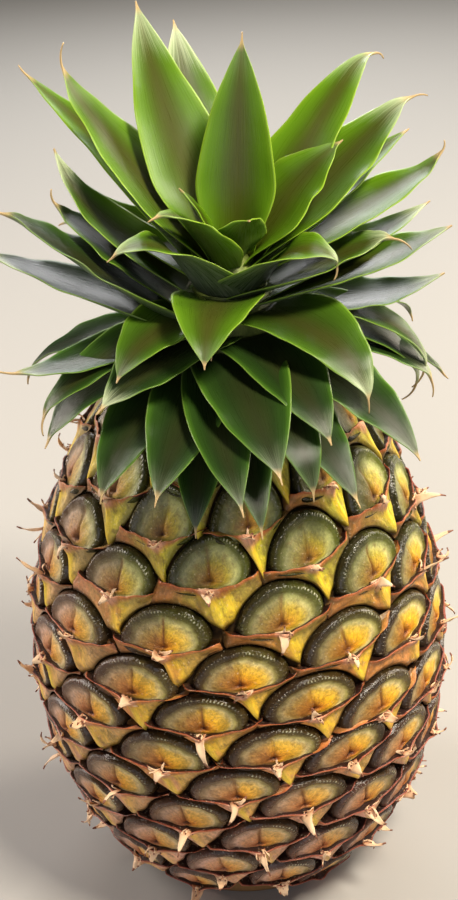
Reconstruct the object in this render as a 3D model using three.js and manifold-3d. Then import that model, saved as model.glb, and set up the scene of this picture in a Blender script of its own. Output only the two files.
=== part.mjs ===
// A whole pineapple with its crown, standing on its trimmed base: millimetres, +Z up,
// origin at the centre of the flat base, -Y towards the front.
//
// The fruit is one body. Its skin is a surface of revolution whose fruitlets follow the
// golden angle from the crown down to the base, and every fruitlet takes the same share of
// the skin. A fruitlet is a raised eye, the upper half of its cell, over a bract, the lower
// half, whose dry tip stands out at the centre. Each crown leaf is a thin channelled blade
// that clasps the short crown stem; the leaves stand in order up the stem and keep clear of
// each other.

import * as THREE from "three";
import Module from "manifold-3d";

const wasm = await Module();
wasm.setup();

// ---- Driving dimensions -------------------------------------------------------------
const FRUIT = {
  radius: 64, // at the widest level
  widest: 75, // height of the widest level above the base
  crownReach: 108, // superellipse half height above the widest level
  crownPower: 1.8,
  baseReach: 90, // and below it
  basePower: 2.1,
  height: 170, // the flat shoulder that carries the crown stem
};
const FRUITLET = {
  skinShare: 441, // mm2 of skin for each fruitlet
  goldenAngle: 137.508,
  firstAzimuth: -27.9, // of fruitlet 0, in degrees from the front towards +X
  widestIndex: 52.3, // the index that falls on the widest level
  across: 8, // the two runs of fruitlets that border each other
  down: 13,
  bulge: 0.18, // how far an eye's arch swells into the bract at its upper right
  sag: 1.5, // and how much of that the bract's margin gives back
};
// Heights of the relief above the smooth skin, which the middles of the bracts' margins
// meet, and how far its parts reach, in shares of a cell's side.
const RELIEF = {
  valley: -4.2,
  rim: 0, // of the eye
  face: -1.1, // the middle of the eye
  lip: 0.3, // the bract's margin
  keel: 0.5, // above the rest of the bract
  edge: 0.18, // from the groove up to the rim or the bract
  rimFrom: 0.16, // the rim's inner slope
  rimTo: 0.4,
  keelHalf: 0.3, // half the keel's width
  bractPower: 1.2, // above 1, the bract falls faster towards its foot
  least: 0.85, // of the relief, in the weakest fruitlet
  spread: 0.3, // and how much stronger the strongest one is
  baseFade: 6, // it fades out in the lowest so many mm
  crownFade: 22, // and in the highest so many, by the share below
  crownShare: 0.75,
  shoulderRadius: 30, // and it is gone at the middle of the shoulder and of the base
};
// The dry tip in the middle of each bract's margin, for the bracts between two heights: how
// far it reaches out, and how far it bends up or down and sways aside in shares of that.
const BRACT_TIP = {
  reach: 6,
  least: 0.7, // of the reach
  spread: 0.6,
  bendDown: 0.35,
  bendSpread: 1.1,
  root: 1.7, // half its height there
  flat: 1.3, // it is so much wider than high
  sunk: 1.6,
  above: 8,
  below: 142,
};
const STALK = { radius: 12, depth: 7, pocketGap: 0.4, topEdge: 1, footEdge: 0.6 };
const STEM = {
  baseRadius: 26, // of the ring that the lowest leaf grows from
  topRadius: 5,
  firstLeaf: 173, // height of that ring
  height: 29, // from the lowest ring to the top one
  foot: 0.5, // gap under the stem
  lean: 4, // of its top towards +X
  apex: 3, // the tip above the top ring
  heartShare: 0.55, // of the ring's radius, where the fused leaves are rooted
};
const BLADE = {
  midrib: 1.2, // thickness
  margin: 0.7,
  tipShare: 0.6, // of the thickness, at the tip
  rootShare: 0.55, // and at the root
  gap: 0.3, // to its neighbours
  least: 0.6, // no part is thinner
  curlRoot: 0.55, // of the channel, in radians at the margin
  curlTip: 0.3,
  curlFrom: 0.1, // shares of the length between which the one turns into the other
  curlTo: 0.8,
  taper: 2.3, // above 1, the blade narrows late
  narrowest: 0.5, // half width at the tip
  rootEnd: 0.15, // share of the length where the thin root has ended
  bendPower: 2.5, // above 1, the lean changes late
  sweepPower: 1.3,
  segment: 10, // length of one straight stretch, within these counts
  fewest: 4,
  most: 6,
  clasp: 1.07, // radius of the root's sweep round the stem, in stem radii
  claspEnd: 0.36, // share of the length where that sweep has ended
  wrap: 1.45, // and how far round it goes on each side, in radians
  ignored: 0.001, // the smallest overlap with a neighbour that is cut away, in mm3
};
// How far the middle of a leaf stays above the fruit's smooth skin, for the lowest leaf and
// for each one after it up to the number given.
const DRAPE = { lowest: 2.6, layer: 0.4, layers: 22 };

// The leaves of the crown in their order up the stem. For each: azimuth from the front
// towards +X, lean above the horizontal at the root and at the tip, length, width, and the
// sweep of its heading towards the tip, in degrees and millimetres.
const COLLAR = [
  [350, -25, -65, 40, 18, 0],
  [110, -15, -60, 42, 20, 0],
  [5, -15, -55, 46, 18, 5],
  [225, -15, -60, 42, 20, 0],
  [30, -20, -50, 44, 20, 5],
  [160, -15, -60, 44, 20, 0],
  [325, -15, -55, 42, 24, 0],
  [20, -5, -75, 44, 20, 0],
  [195, -10, -60, 44, 22, 0],
  [95, -10, -60, 46, 22, 0],
  [345, -10, -40, 46, 26, -10],
  [130, -10, -60, 46, 22, 0],
  [255, -10, -60, 46, 22, 0],
  [355, -10, -25, 54, 22, 20],
  [300, -10, -60, 42, 22, 0],
  [50, -15, -45, 50, 26, -5],
  [175, -5, -50, 50, 22, 0],
  [120, -5, -50, 50, 22, 0],
  [5, -5, -35, 50, 28, 15],
  [215, 0, -45, 52, 24, 0],
  [78, -10, -50, 44, 26, 0],
];
const SKIRT = [
  [295, -5, 10, 46, 22, 0],
  [145, 0, -45, 54, 24, 0],
  [280, 30, 30, 55, 30, 0],
  [24, -8, -45, 43, 26, 5],
  [325, -5, -20, 38, 28, -15],
  [80, -10, -80, 47, 18, 0],
  [282, 40, 45, 57, 38, 0],
  [300, -10, -40, 48, 22, 0],
  [130, 10, -30, 56, 24, 0],
  [85, 0, 35, 46, 28, 0],
  [225, 15, -10, 56, 24, 0],
  [260, 40, 35, 44, 30, 0],
  [80, -5, -80, 51, 18, 0],
  [43, 0, -72, 44, 30, 0],
  [320, 5, -45, 36, 26, 0],
  [160, 20, 0, 58, 24, 0],
];
const ROSETTE = [
  [85, 15, 35, 52, 34, 0],
  [105, 15, 30, 50, 24, 0],
  [255, 35, 75, 54, 26, 0],
  [350, 5, -40, 24, 20, 0],
  [350, 20, -60, 38, 28, 0],
  [75, 25, 25, 38, 38, 10],
  [320, 60, -35, 38, 28, -40],
  [40, 55, -60, 34, 30, 50],
  [200, 35, 20, 60, 24, 0],
  [235, 20, 30, 45, 22, 0],
  [195, 55, 60, 70, 30, 0],
  [230, 40, 25, 78, 20, 5],
  [105, 22, 25, 61, 34, 0],
  [120, 30, 25, 58, 24, -5],
  [134, 48, 28, 73, 28, 0],
  [245, 50, 50, 67, 32, 0],
  [118, 35, 36, 65, 38, 0],
  [213, 55, 75, 73, 31, 0],
  [163, 80, 65, 58, 26, 0],
  [115, 50, 24, 40, 39, 0],
];
const LEAVES = [...COLLAR, ...SKIRT, ...ROSETTE];
// The youngest leaves, fused to the top of the stem, each with its share of the way up it.
const HEART = [
  [0.89, [320, 65, 0, 34, 22, -20]],
  [0.95, [270, 75, 45, 24, 12, 0]],
  [0.98, [20, 70, 15, 22, 20, -5]],
];
const COLOURS = {
  skin: [0xa8781f, 0.45],
  leaf: [0x4d8a1e, 0.35],
  collar: [0x2f6a1f, 0.38],
  stem: [0x5c7a2c, 0.5],
  stalk: [0xc9a36a, 0.8],
};

// ---- Helpers --------------------------------------------------------------------------
const SIDES = 20; // of a turned solid
const RADIANS = Math.PI / 180;
const clamp = THREE.MathUtils.clamp;
const lerp = THREE.MathUtils.lerp;
const smoothstep = THREE.MathUtils.smoothstep;

// The same number from 0 to 1 for the same seed on every run.
function chance(seed) {
  const wave = Math.sin(seed * 12.9898 + 4.1414) * 43758.5453;
  return wave - Math.floor(wave);
}

// The direction that leaves the axis at an azimuth, and the one across it.
function outwardAt(angle) {
  return new THREE.Vector3(Math.sin(angle), -Math.cos(angle), 0);
}

function acrossAt(angle) {
  return new THREE.Vector3(Math.cos(angle), Math.sin(angle), 0);
}

function solidOf(positions, triangles) {
  return new wasm.Manifold(
    new wasm.Mesh({
      numProp: 3,
      vertProperties: new Float32Array(positions),
      triVerts: new Uint32Array(triangles),
    }),
  );
}

function geometryOf(solid) {
  const mesh = solid.getMesh();
  const geometry = new THREE.BufferGeometry();
  geometry.setAttribute("position", new THREE.BufferAttribute(mesh.vertProperties, 3));
  geometry.setIndex(new THREE.BufferAttribute(mesh.triVerts, 1));
  geometry.computeVertexNormals();
  return geometry;
}

function largestOf(solid) {
  const bodies = solid.decompose();
  return bodies.reduce((best, body) => (body.volume() > best.volume() ? body : best));
}

// A closed solid turned round +Z from a profile of [radius, height, x] points, top to
// bottom, where x moves a ring's centre off the axis.
function turned(profile) {
  const positions = [];
  const triangles = [];
  profile.forEach(([radius, height, x = 0], row) => {
    for (let side = 0; side < SIDES; side++) {
      const angle = (2 * Math.PI * side) / SIDES;
      positions.push(x + radius * Math.cos(angle), radius * Math.sin(angle), height);
      if (row === 0) continue;
      const next = (side + 1) % SIDES;
      const [a, b] = [(row - 1) * SIDES + side, (row - 1) * SIDES + next];
      const [c, d] = [row * SIDES + side, row * SIDES + next];
      triangles.push(a, c, d, a, d, b);
    }
  });
  const last = profile.length * SIDES;
  const [first, final] = [profile[0], profile.at(-1)];
  positions.push(first[2] ?? 0, 0, first[1], final[2] ?? 0, 0, final[1]);
  for (let side = 0; side < SIDES; side++) {
    const next = (side + 1) % SIDES;
    const foot = (profile.length - 1) * SIDES;
    triangles.push(last, side, next, last + 1, foot + next, foot + side);
  }
  return solidOf(positions, triangles);
}

// ---- The fruit --------------------------------------------------------------------------
function fruitRadius(height) {
  const above = height - FRUIT.widest;
  const [reach, power] =
    above >= 0
      ? [FRUIT.crownReach, FRUIT.crownPower]
      : [FRUIT.baseReach, FRUIT.basePower];
  const share = clamp(Math.abs(above) / reach, 0, 1);
  return FRUIT.radius * (1 - share ** power) ** (1 / power);
}

// The smooth skin from the middle of the shoulder down the side to the middle of the base,
// with the skin swept so far, counted in fruitlets.
function skinProfile() {
  const steps = 600;
  const outline = [[0, FRUIT.height]];
  for (let i = 0; i <= steps; i++) {
    const height = FRUIT.height * (1 - i / steps);
    outline.push([fruitRadius(height), height]);
  }
  outline.push([0, 0]);
  const rows = [{ radius: 0, height: FRUIT.height, swept: 0 }];
  for (let i = 1; i < outline.length; i++) {
    const [r0, z0] = outline[i - 1];
    const [r1, z1] = outline[i];
    const pieces = Math.max(1, Math.ceil(Math.hypot(r1 - r0, z1 - z0)));
    for (let j = 1; j <= pieces; j++) {
      const radius = lerp(r0, r1, j / pieces);
      const height = lerp(z0, z1, j / pieces);
      const last = rows.at(-1);
      const length = Math.hypot(radius - last.radius, height - last.height);
      const area = Math.PI * (radius + last.radius) * length;
      rows.push({ radius, height, swept: last.swept + area / FRUITLET.skinShare });
    }
  }
  return rows;
}

const PROFILE = skinProfile();
const widestRow = PROFILE.find((row) => row.height <= FRUIT.widest);
const TOP_INDEX = FRUITLET.widestIndex - widestRow.swept;
const BASE_INDEX = TOP_INDEX + PROFILE.at(-1).swept;

function profileAt(index) {
  const swept = clamp(index, TOP_INDEX, BASE_INDEX) - TOP_INDEX;
  let low = 0;
  let high = PROFILE.length - 1;
  while (high - low > 1) {
    const middle = (low + high) >> 1;
    if (PROFILE[middle].swept > swept) high = middle;
    else low = middle;
  }
  const [a, b] = [PROFILE[low], PROFILE[high]];
  const share = (swept - a.swept) / (b.swept - a.swept);
  return { radius: lerp(a.radius, b.radius, share), height: lerp(a.height, b.height, share) };
}

// The outward direction of the smooth skin in the plane of the axis.
function skinNormal(height) {
  const step = 0.5;
  const slope = fruitRadius(height + step) - fruitRadius(height - step);
  const length = Math.hypot(2 * step, slope);
  return { out: (2 * step) / length, up: -slope / length };
}

// Height of the relief at (p, q) of a fruitlet's cell. p and q run from the cell's top
// corner along its two lower sides, so p + q = 1 is the margin of the bract, with the eye
// above it.
function reliefAt(p, q) {
  const fromArch = Math.min(p, q);
  const fromFoot = Math.min(1 - p, 1 - q);
  if (Math.min(fromArch, fromFoot) <= 0) return RELIEF.valley;
  if (p + q < 0.999) {
    const roll = smoothstep(fromArch, 0, RELIEF.edge);
    const inside = smoothstep(fromArch, RELIEF.rimFrom, RELIEF.rimTo);
    return lerp(RELIEF.valley, lerp(RELIEF.rim, RELIEF.face, inside), roll);
  }
  const slope = clamp(p + q - 1, 0, 1) ** RELIEF.bractPower;
  const fromKeel = Math.abs(p - q);
  const keel = RELIEF.keel * smoothstep(RELIEF.keelHalf - fromKeel, 0, RELIEF.keelHalf);
  const body = lerp(RELIEF.lip, RELIEF.valley, slope) + keel;
  return lerp(RELIEF.valley, body, smoothstep(fromFoot, 0, RELIEF.edge));
}

// Degrees round the fruit, the short way, between fruitlets so many steps apart.
function turnOf(steps) {
  const turn = (steps * FRUITLET.goldenAngle) % 360;
  return turn > 180 ? turn - 360 : turn;
}

// The place on the skin of (p, q) in the cell of fruitlet k, which is the parallelogram
// between its neighbours k + across and k + down: a count of fruitlets from the top, and an
// azimuth. The fruitlet's own place is the middle of its bract's margin.
function skinPlace(k, p, q) {
  const { goldenAngle, firstAzimuth, across, down, bulge, sag } = FRUITLET;
  const archP = 4 * p * (1 - p);
  const archQ = 4 * q * (1 - q);
  const lift = bulge * (archP * (1 - sag * archQ) - (1 - sag));
  const alongAcross = p - 0.5;
  const alongDown = q - 0.5 - lift;
  const index = k + across * alongAcross + down * alongDown;
  const turn = turnOf(across) * alongAcross + turnOf(down) * alongDown;
  return { index, azimuth: firstAzimuth + k * goldenAngle + turn };
}

// A point that stands so far off the smooth skin, with the skin's directions there.
function skinPoint({ index, azimuth }, lift) {
  const { radius, height } = profileAt(index);
  const normal = skinNormal(clamp(height, 1, FRUIT.height - 1));
  const outward = outwardAt(azimuth * RADIANS);
  const off = outward.clone().multiplyScalar(normal.out);
  off.z = normal.up;
  const point = outward.multiplyScalar(radius).addScaledVector(off, lift);
  point.z += height;
  return { point, off, side: acrossAt(azimuth * RADIANS), height, radius };
}

// How much of the relief is left near the flat base and under the crown.
function reliefShare({ height, radius }) {
  const { baseFade, crownFade, crownShare, shoulderRadius } = RELIEF;
  const base = smoothstep(height, 0, baseFade);
  const crown = smoothstep(height, FRUIT.height - crownFade, FRUIT.height);
  const middle = Math.min(radius / shoulderRadius, 1) ** 4;
  return Math.min(base, 1 - crownShare * crown, middle);
}

// Each fruitlet's relief is a little stronger or weaker than the next one's.
function liftAt(k, p, q) {
  return reliefAt(p, q) * (RELIEF.least + RELIEF.spread * chance(k));
}

function skinSolid() {
  const stations = [0, 0.2, 0.5, 0.8, 1];
  const cells = stations.length - 1;
  const positions = [];
  const triangles = [];
  const known = new Map();

  function vertex(k, i, j) {
    if (i === cells) return vertex(k + FRUITLET.across, 0, j);
    if (j === cells) return vertex(k + FRUITLET.down, i, 0);
    const [p, q] = [stations[i], stations[j]];
    const place = skinPlace(k, p, q);
    let key = `${k},${i},${j}`;
    if (place.index <= TOP_INDEX) key = "top";
    if (place.index >= BASE_INDEX) key = "base";
    if (known.has(key)) return known.get(key);
    const level = skinPoint(place, 0);
    const { point } = skinPoint(place, liftAt(k, p, q) * reliefShare(level));
    if (level.height <= 0) point.z = 0;
    positions.push(point.x, point.y, Math.max(point.z, 0));
    known.set(key, positions.length / 3 - 1);
    return known.get(key);
  }

  const reach = FRUITLET.across + FRUITLET.down;
  for (let k = Math.floor(TOP_INDEX) - reach; k <= BASE_INDEX + reach; k++) {
    for (let i = 0; i < cells; i++) {
      for (let j = 0; j < cells; j++) {
        const [a, b] = [vertex(k, i, j), vertex(k, i + 1, j)];
        const [c, d] = [vertex(k, i, j + 1), vertex(k, i + 1, j + 1)];
        for (const [u, v, w] of [[a, c, b], [b, c, d]]) {
          if (u !== v && v !== w && w !== u) triangles.push(u, v, w);
        }
      }
    }
  }
  return solidOf(positions, triangles);
}

// The dry tip of bract k: a three-sided spine that stands out of the margin and bends up,
// down or aside.
function bractTip(k) {
  const { point, off, side, height } = skinPoint(skinPlace(k, 0.5, 0.5), RELIEF.lip);
  if (height < BRACT_TIP.above || height > BRACT_TIP.below) return null;
  const along = new THREE.Vector3().crossVectors(off, side);
  const { least, spread, bendDown, bendSpread, root, flat, sunk } = BRACT_TIP;
  const reach = BRACT_TIP.reach * (least + spread * chance(k + 0.5));
  const bend = reach * (bendSpread * chance(k + 0.25) - bendDown);
  const sway = reach * (chance(k + 0.75) - 0.5);
  // Three rings: the distance out, the share of the bend and the size.
  const spine = [
    [-sunk, 0, root],
    [0.55 * reach, 0.25, 0.5 * root],
    [0.85 * reach, 1, 0.2],
  ];
  const positions = [];
  for (const [out, share, size] of spine) {
    for (const corner of [0, 1, 2]) {
      const angle = (2 * Math.PI * corner) / 3 + Math.PI / 2;
      const at = point
        .clone()
        .addScaledVector(off, out)
        .addScaledVector(side, sway * share + flat * size * Math.cos(angle))
        .addScaledVector(along, bend * share + size * Math.sin(angle));
      positions.push(at.x, at.y, at.z);
    }
  }
  const triangles = [0, 2, 1, 6, 7, 8];
  for (const foot of [0, 3]) {
    for (const corner of [0, 1, 2]) {
      const [a, b] = [foot + corner, foot + ((corner + 1) % 3)];
      triangles.push(a, b, b + 3, a, b + 3, a + 3);
    }
  }
  return solidOf(positions, triangles);
}

function fruitSolid() {
  let fruit = skinSolid();
  for (let k = Math.ceil(TOP_INDEX); k < BASE_INDEX; k++) {
    const tip = bractTip(k);
    if (tip) fruit = fruit.add(tip);
  }
  const { radius, depth, pocketGap } = STALK;
  const pocket = turned([[radius + pocketGap, depth], [radius + pocketGap, -1]]);
  return fruit.subtract(pocket);
}

// The cut end of the stalk, flush with the base.
function stalkSolid() {
  const { radius, depth, pocketGap, topEdge, footEdge } = STALK;
  const top = depth - pocketGap;
  const profile = [
    [radius - topEdge, top],
    [radius, top - topEdge],
    [radius, footEdge],
    [radius - footEdge, 0],
  ];
  return turned(profile);
}

// ---- The crown --------------------------------------------------------------------------
// The ring of the stem that a leaf grows from, a little outside the stem itself.
function stemAt(rank) {
  return {
    radius: lerp(STEM.baseRadius, STEM.topRadius, rank),
    height: STEM.firstLeaf + STEM.height * rank,
    shift: STEM.lean * rank,
  };
}

// Pushes a point out of the fruit, along the skin's normal, to the clearance given.
function drape(point, clearance) {
  const radius = Math.hypot(point.x, point.y);
  if (point.z > FRUIT.height + clearance || radius < 1) return point;
  let nearest = PROFILE[0];
  let least = Infinity;
  for (const row of PROFILE) {
    const distance = (row.radius - radius) ** 2 + (row.height - point.z) ** 2;
    if (distance < least) [least, nearest] = [distance, row];
  }
  const onShoulder = nearest.height > FRUIT.height - 0.01;
  const normal = onShoulder ? { out: 0, up: 1 } : skinNormal(nearest.height);
  const depth =
    (radius - nearest.radius) * normal.out + (point.z - nearest.height) * normal.up;
  const push = Math.max(clearance - depth, 0);
  const scale = (radius + push * normal.out) / radius;
  return point.set(point.x * scale, point.y * scale, point.z + push * normal.up);
}

// Half width of a blade at share u of its length: widest at its clasping root.
function halfWidth(u, width) {
  return Math.max((width / 2) * (1 - u ** BLADE.taper), BLADE.narrowest);
}

// The middle of a blade from root to tip, with the directions across and above it.
function bladeFrames([azimuth, rootLean, tipLean, length, , sweep], ring, segments) {
  const fine = 4;
  const steps = segments * fine;
  const spot = outwardAt(azimuth * RADIANS).multiplyScalar(ring.radius);
  spot.set(spot.x + ring.shift, spot.y, ring.height);
  const frames = [];
  for (let step = 0; step <= steps; step++) {
    const u = step / steps;
    const lean = lerp(rootLean, tipLean, u ** BLADE.bendPower) * RADIANS;
    const heading = (azimuth + sweep * u ** BLADE.sweepPower) * RADIANS;
    const along = outwardAt(heading).multiplyScalar(Math.cos(lean));
    along.z = Math.sin(lean);
    if (step > 0) spot.addScaledVector(along, length / steps);
    const across = acrossAt(heading);
    const above = new THREE.Vector3().crossVectors(along, across);
    if (step % fine === 0) frames.push({ u, heading, middle: spot.clone(), across, above });
  }
  return frames;
}

// A point of a blade's mid surface, share s of the half width from its middle. The root
// wraps round the stem, and the rest is a channel that opens towards the tip.
function bladePoint(frame, s, half, ringRadius) {
  const { u, heading, middle, across, above } = frame;
  const opened = smoothstep(u, BLADE.curlFrom, BLADE.curlTo);
  const curl = lerp(BLADE.curlRoot, BLADE.curlTip, opened) * s;
  const channel = middle
    .clone()
    .addScaledVector(across, (half * s * Math.sin(curl)) / (curl || 1))
    .addScaledVector(above, (half * s * (1 - Math.cos(curl))) / (curl || 1));
  if (curl === 0) return channel;
  const round = clamp((s * half) / ringRadius, -BLADE.wrap, BLADE.wrap);
  const clasp = outwardAt(heading + round)
    .sub(outwardAt(heading))
    .multiplyScalar(ringRadius)
    .add(middle);
  return clasp.lerp(channel, smoothstep(u, 0, BLADE.claspEnd));
}

// A leaf blade as a solid that grows from a ring of the stem. swell grows it on every side,
// to cut its neighbours clear.
function leafSolid(leaf, ring, layer, swell = 0) {
  const [, , , length, width] = leaf;
  const wanted = Math.round(length / BLADE.segment);
  const segments = clamp(wanted, BLADE.fewest, BLADE.most);
  const strips = 4;
  const clearance = DRAPE.lowest + DRAPE.layer * Math.min(layer, DRAPE.layers);
  const positions = [];
  for (const frame of bladeFrames(leaf, ring, segments)) {
    const half = halfWidth(frame.u, width) + swell;
    const under = [];
    for (let strip = 0; strip <= strips; strip++) {
      const s = 1 - (2 * strip) / strips;
      const point = drape(bladePoint(frame, s, half, ring.radius), clearance);
      const root = lerp(BLADE.rootShare, 1, smoothstep(frame.u, 0, BLADE.rootEnd));
      const slim = lerp(1, BLADE.tipShare, frame.u) * root;
      const thick = slim * lerp(BLADE.midrib, BLADE.margin, Math.abs(s));
      const lift = Math.max(thick, BLADE.least) / 2 + swell;
      const upper = point.clone().addScaledVector(frame.above, lift);
      positions.push(...upper.toArray());
      under.unshift(point.addScaledVector(frame.above, -lift));
    }
    under.forEach((point) => positions.push(...point.toArray()));
  }
  return solidOf(positions, ringTriangles(segments, strips));
}

// Triangles of a blade whose rings run across its upper face and back across the under one,
// split alike on both faces so that the two never cross.
function ringTriangles(segments, strips) {
  const ring = 2 * (strips + 1);
  const triangles = [];
  for (let segment = 0; segment < segments; segment++) {
    for (let corner = 0; corner < ring; corner++) {
      const next = (corner + 1) % ring;
      const [a, b] = [segment * ring + corner, segment * ring + next];
      const [c, d] = [a + ring, b + ring];
      if (corner <= strips) triangles.push(a, b, d, a, d, c);
      else triangles.push(a, b, c, b, d, c);
    }
  }
  const tip = segments * ring;
  for (let strip = 0; strip < strips; strip++) {
    const [u, v] = [strip, strip + 1];
    const [y, x] = [ring - 1 - strip, ring - 2 - strip];
    triangles.push(u, y, v, v, y, x, tip + u, tip + v, tip + y, tip + v, tip + x, tip + y);
  }
  return triangles;
}

// The short stem, with the youngest leaves of the heart fused to its top.
function stemSolid() {
  const foot = [STEM.baseRadius / BLADE.clasp, FRUIT.height + STEM.foot];
  const rows = [1, 0.75, 0.5, 0.25, 0.05].map((rank) => {
    const { radius, height, shift } = stemAt(rank);
    return [radius / BLADE.clasp - BLADE.gap, height, shift];
  });
  const [topRadius, topHeight] = rows[0];
  const apex = [topRadius / 3, topHeight + STEM.apex, STEM.lean];
  let stem = turned([apex, ...rows, foot]);
  for (const [rank, leaf] of HEART) {
    const ring = stemAt(rank);
    ring.radius *= STEM.heartShare;
    stem = stem.add(leafSolid(leaf, ring, DRAPE.layers));
  }
  return stem;
}

// Cuts each leaf clear of the stem and of the leaves placed before it that it would cross,
// the innermost first.
function crownLeaves(stem) {
  const solids = [];
  const placed = [{ plain: stem, swollen: stem }];
  for (let order = LEAVES.length - 1; order >= 0; order--) {
    const ring = stemAt(order / LEAVES.length);
    const whole = leafSolid(LEAVES[order], ring, order);
    let blade = whole;
    for (const { plain, swollen } of placed) {
      for (const cutter of [swollen, plain]) {
        if (blade.intersect(plain).volume() > BLADE.ignored) blade = blade.subtract(cutter);
      }
    }
    solids.unshift(largestOf(blade));
    const swollen = leafSolid(LEAVES[order], ring, order, BLADE.gap);
    placed.push({ plain: whole, swollen });
  }
  return solids;
}

// ---- The object -------------------------------------------------------------------------
const pineapple = new THREE.Group();
pineapple.name = "pineapple";

function addPiece(name, solid, [colour, roughness]) {
  const material = new THREE.MeshStandardMaterial({ color: colour, roughness, metalness: 0 });
  const mesh = new THREE.Mesh(geometryOf(solid), material);
  mesh.name = name;
  pineapple.add(mesh);
}

const stem = stemSolid();
addPiece("fruit", fruitSolid(), COLOURS.skin);
addPiece("stalk_end", stalkSolid(), COLOURS.stalk);
addPiece("crown_stem", stem, COLOURS.stem);
crownLeaves(stem).forEach((solid, order) => {
  const colour = order < COLLAR.length ? COLOURS.collar : COLOURS.leaf;
  addPiece(`leaf_${String(order + 1).padStart(2, "0")}`, solid, colour);
});

export default pineapple;
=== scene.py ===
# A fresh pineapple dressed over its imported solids: metres, +Z up, front towards -Y.
# Shapes are worked out in millimetres and scaled once, where a piece is made.
import math

import bpy
import numpy as np
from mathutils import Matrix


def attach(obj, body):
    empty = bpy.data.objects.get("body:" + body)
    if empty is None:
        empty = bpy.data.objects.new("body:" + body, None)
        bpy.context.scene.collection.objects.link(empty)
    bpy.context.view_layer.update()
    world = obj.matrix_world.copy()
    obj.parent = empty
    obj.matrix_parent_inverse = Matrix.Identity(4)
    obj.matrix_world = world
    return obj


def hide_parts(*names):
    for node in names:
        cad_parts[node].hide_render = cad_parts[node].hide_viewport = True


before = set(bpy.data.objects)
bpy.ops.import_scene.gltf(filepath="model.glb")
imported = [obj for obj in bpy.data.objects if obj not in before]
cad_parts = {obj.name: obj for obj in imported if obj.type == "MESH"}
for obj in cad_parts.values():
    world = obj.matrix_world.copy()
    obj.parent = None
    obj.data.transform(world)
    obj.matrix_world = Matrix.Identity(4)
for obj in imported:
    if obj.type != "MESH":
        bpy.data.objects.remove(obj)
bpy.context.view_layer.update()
millimetre = 0.001
print("frame:", len(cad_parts), "nodes")


# Plain helpers.
def smoothStep(value, low, high):
    share = np.clip((value - low) / (high - low), 0.0, 1.0)
    return share * share * (3.0 - 2.0 * share)


def between(low, high, share):
    return low + (high - low) * share


def chance(seed):
    wave = np.sin(np.asarray(seed, float) * 12.9898 + 4.1414) * 43758.5453
    return wave - np.floor(wave)


def linearColour(code):
    channels = [int(code[i : i + 2], 16) / 255 for i in (0, 2, 4)]
    linear = [c / 12.92 if c < 0.04045 else ((c + 0.055) / 1.055) ** 2.4 for c in channels]
    return (*linear, 1.0)


def addPiece(name, points, faces, material, marks):
    mesh = bpy.data.meshes.new(name)
    mesh.from_pydata((points * millimetre).tolist(), [], faces)
    for mark, values in marks.items():
        kind = "FLOAT_VECTOR" if values.ndim == 2 else "FLOAT"
        layer = mesh.attributes.new(mark, kind, "POINT")
        layer.data.foreach_set("vector" if values.ndim == 2 else "value", values.ravel())
    mesh.shade_smooth()
    mesh.materials.append(material)
    piece = bpy.data.objects.new(name, mesh)
    bpy.context.collection.objects.link(piece)
    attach(piece, "root")
    return piece


def gridFaces(rows, columns, first=0, closed=False):
    # Quads of a grid of rows x columns points; closed joins the last column to the first.
    faces = []
    for row in range(rows - 1):
        for column in range(columns if closed else columns - 1):
            right = (column + 1) % columns
            low = first + row * columns
            faces.append((low + column, low + right, low + columns + right, low + columns + column))
    return faces


# Shader helpers: each adds its nodes and gives back what they put out.
def feed(tree, node, inputs):
    for key, value in inputs.items():
        if isinstance(value, bpy.types.NodeSocket):
            tree.links.new(value, node.inputs[key])
        else:
            node.inputs[key].default_value = value


def addNode(tree, kind, inputs, **settings):
    node = tree.nodes.new(kind)
    for key, value in settings.items():
        setattr(node, key, value)
    feed(tree, node, inputs)
    return node


def sumOf(tree, operation, first, second=0.0, third=0.0):
    inputs = {0: first, 1: second}
    if operation in ("MULTIPLY_ADD", "SMOOTH_MIN"):
        inputs[2] = third
    return addNode(tree, "ShaderNodeMath", inputs, operation=operation).outputs[0]


def rangeOf(tree, value, low, high, start=0.0, end=1.0):
    inputs = {0: value, 1: low, 2: high, 3: start, 4: end}
    node = addNode(tree, "ShaderNodeMapRange", inputs, interpolation_type="SMOOTHSTEP")
    return node.outputs[0]


def colourMix(tree, share, first, second, blend="MIX"):
    inputs = {0: share, 6: first, 7: second}
    node = addNode(tree, "ShaderNodeMix", inputs, data_type="RGBA", blend_type=blend)
    return node.outputs[2]


def rampOf(tree, value, stops):
    node = addNode(tree, "ShaderNodeValToRGB", {0: value})
    elements = node.color_ramp.elements
    for place, _ in stops[1:-1]:
        elements.new(place)
    for element, (place, code) in zip(elements, stops):
        element.position = place
        element.color = linearColour(code)
    return node.outputs[0]


def product(tree, first, *others):
    for other in others:
        first = sumOf(tree, "MULTIPLY", first, other)
    return first


def tinted(tree, colour, share, code):
    return colourMix(tree, share, colour, linearColour(code))


def separated(tree, vector):
    return addNode(tree, "ShaderNodeSeparateXYZ", {0: vector}).outputs


def combined(tree, x, y, z):
    return addNode(tree, "ShaderNodeCombineXYZ", {0: x, 1: y, 2: z}).outputs[0]


def shadedBy(tree, colour, shade):
    return colourMix(tree, 1.0, colour, combined(tree, shade, shade, shade), "MULTIPLY")


def markOf(tree, name, output="Fac"):
    node = addNode(tree, "ShaderNodeAttribute", {}, attribute_name=name)
    return node.outputs[output]


def noiseOf(tree, vector, scale, detail=3.0, roughness=0.55):
    inputs = {"Vector": vector, "Scale": scale, "Detail": detail, "Roughness": roughness}
    return addNode(tree, "ShaderNodeTexNoise", inputs).outputs[0]


def stretched(tree, vector, by):
    inputs = {0: vector, 1: by}
    return addNode(tree, "ShaderNodeVectorMath", inputs, operation="MULTIPLY").outputs[0]


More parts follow.
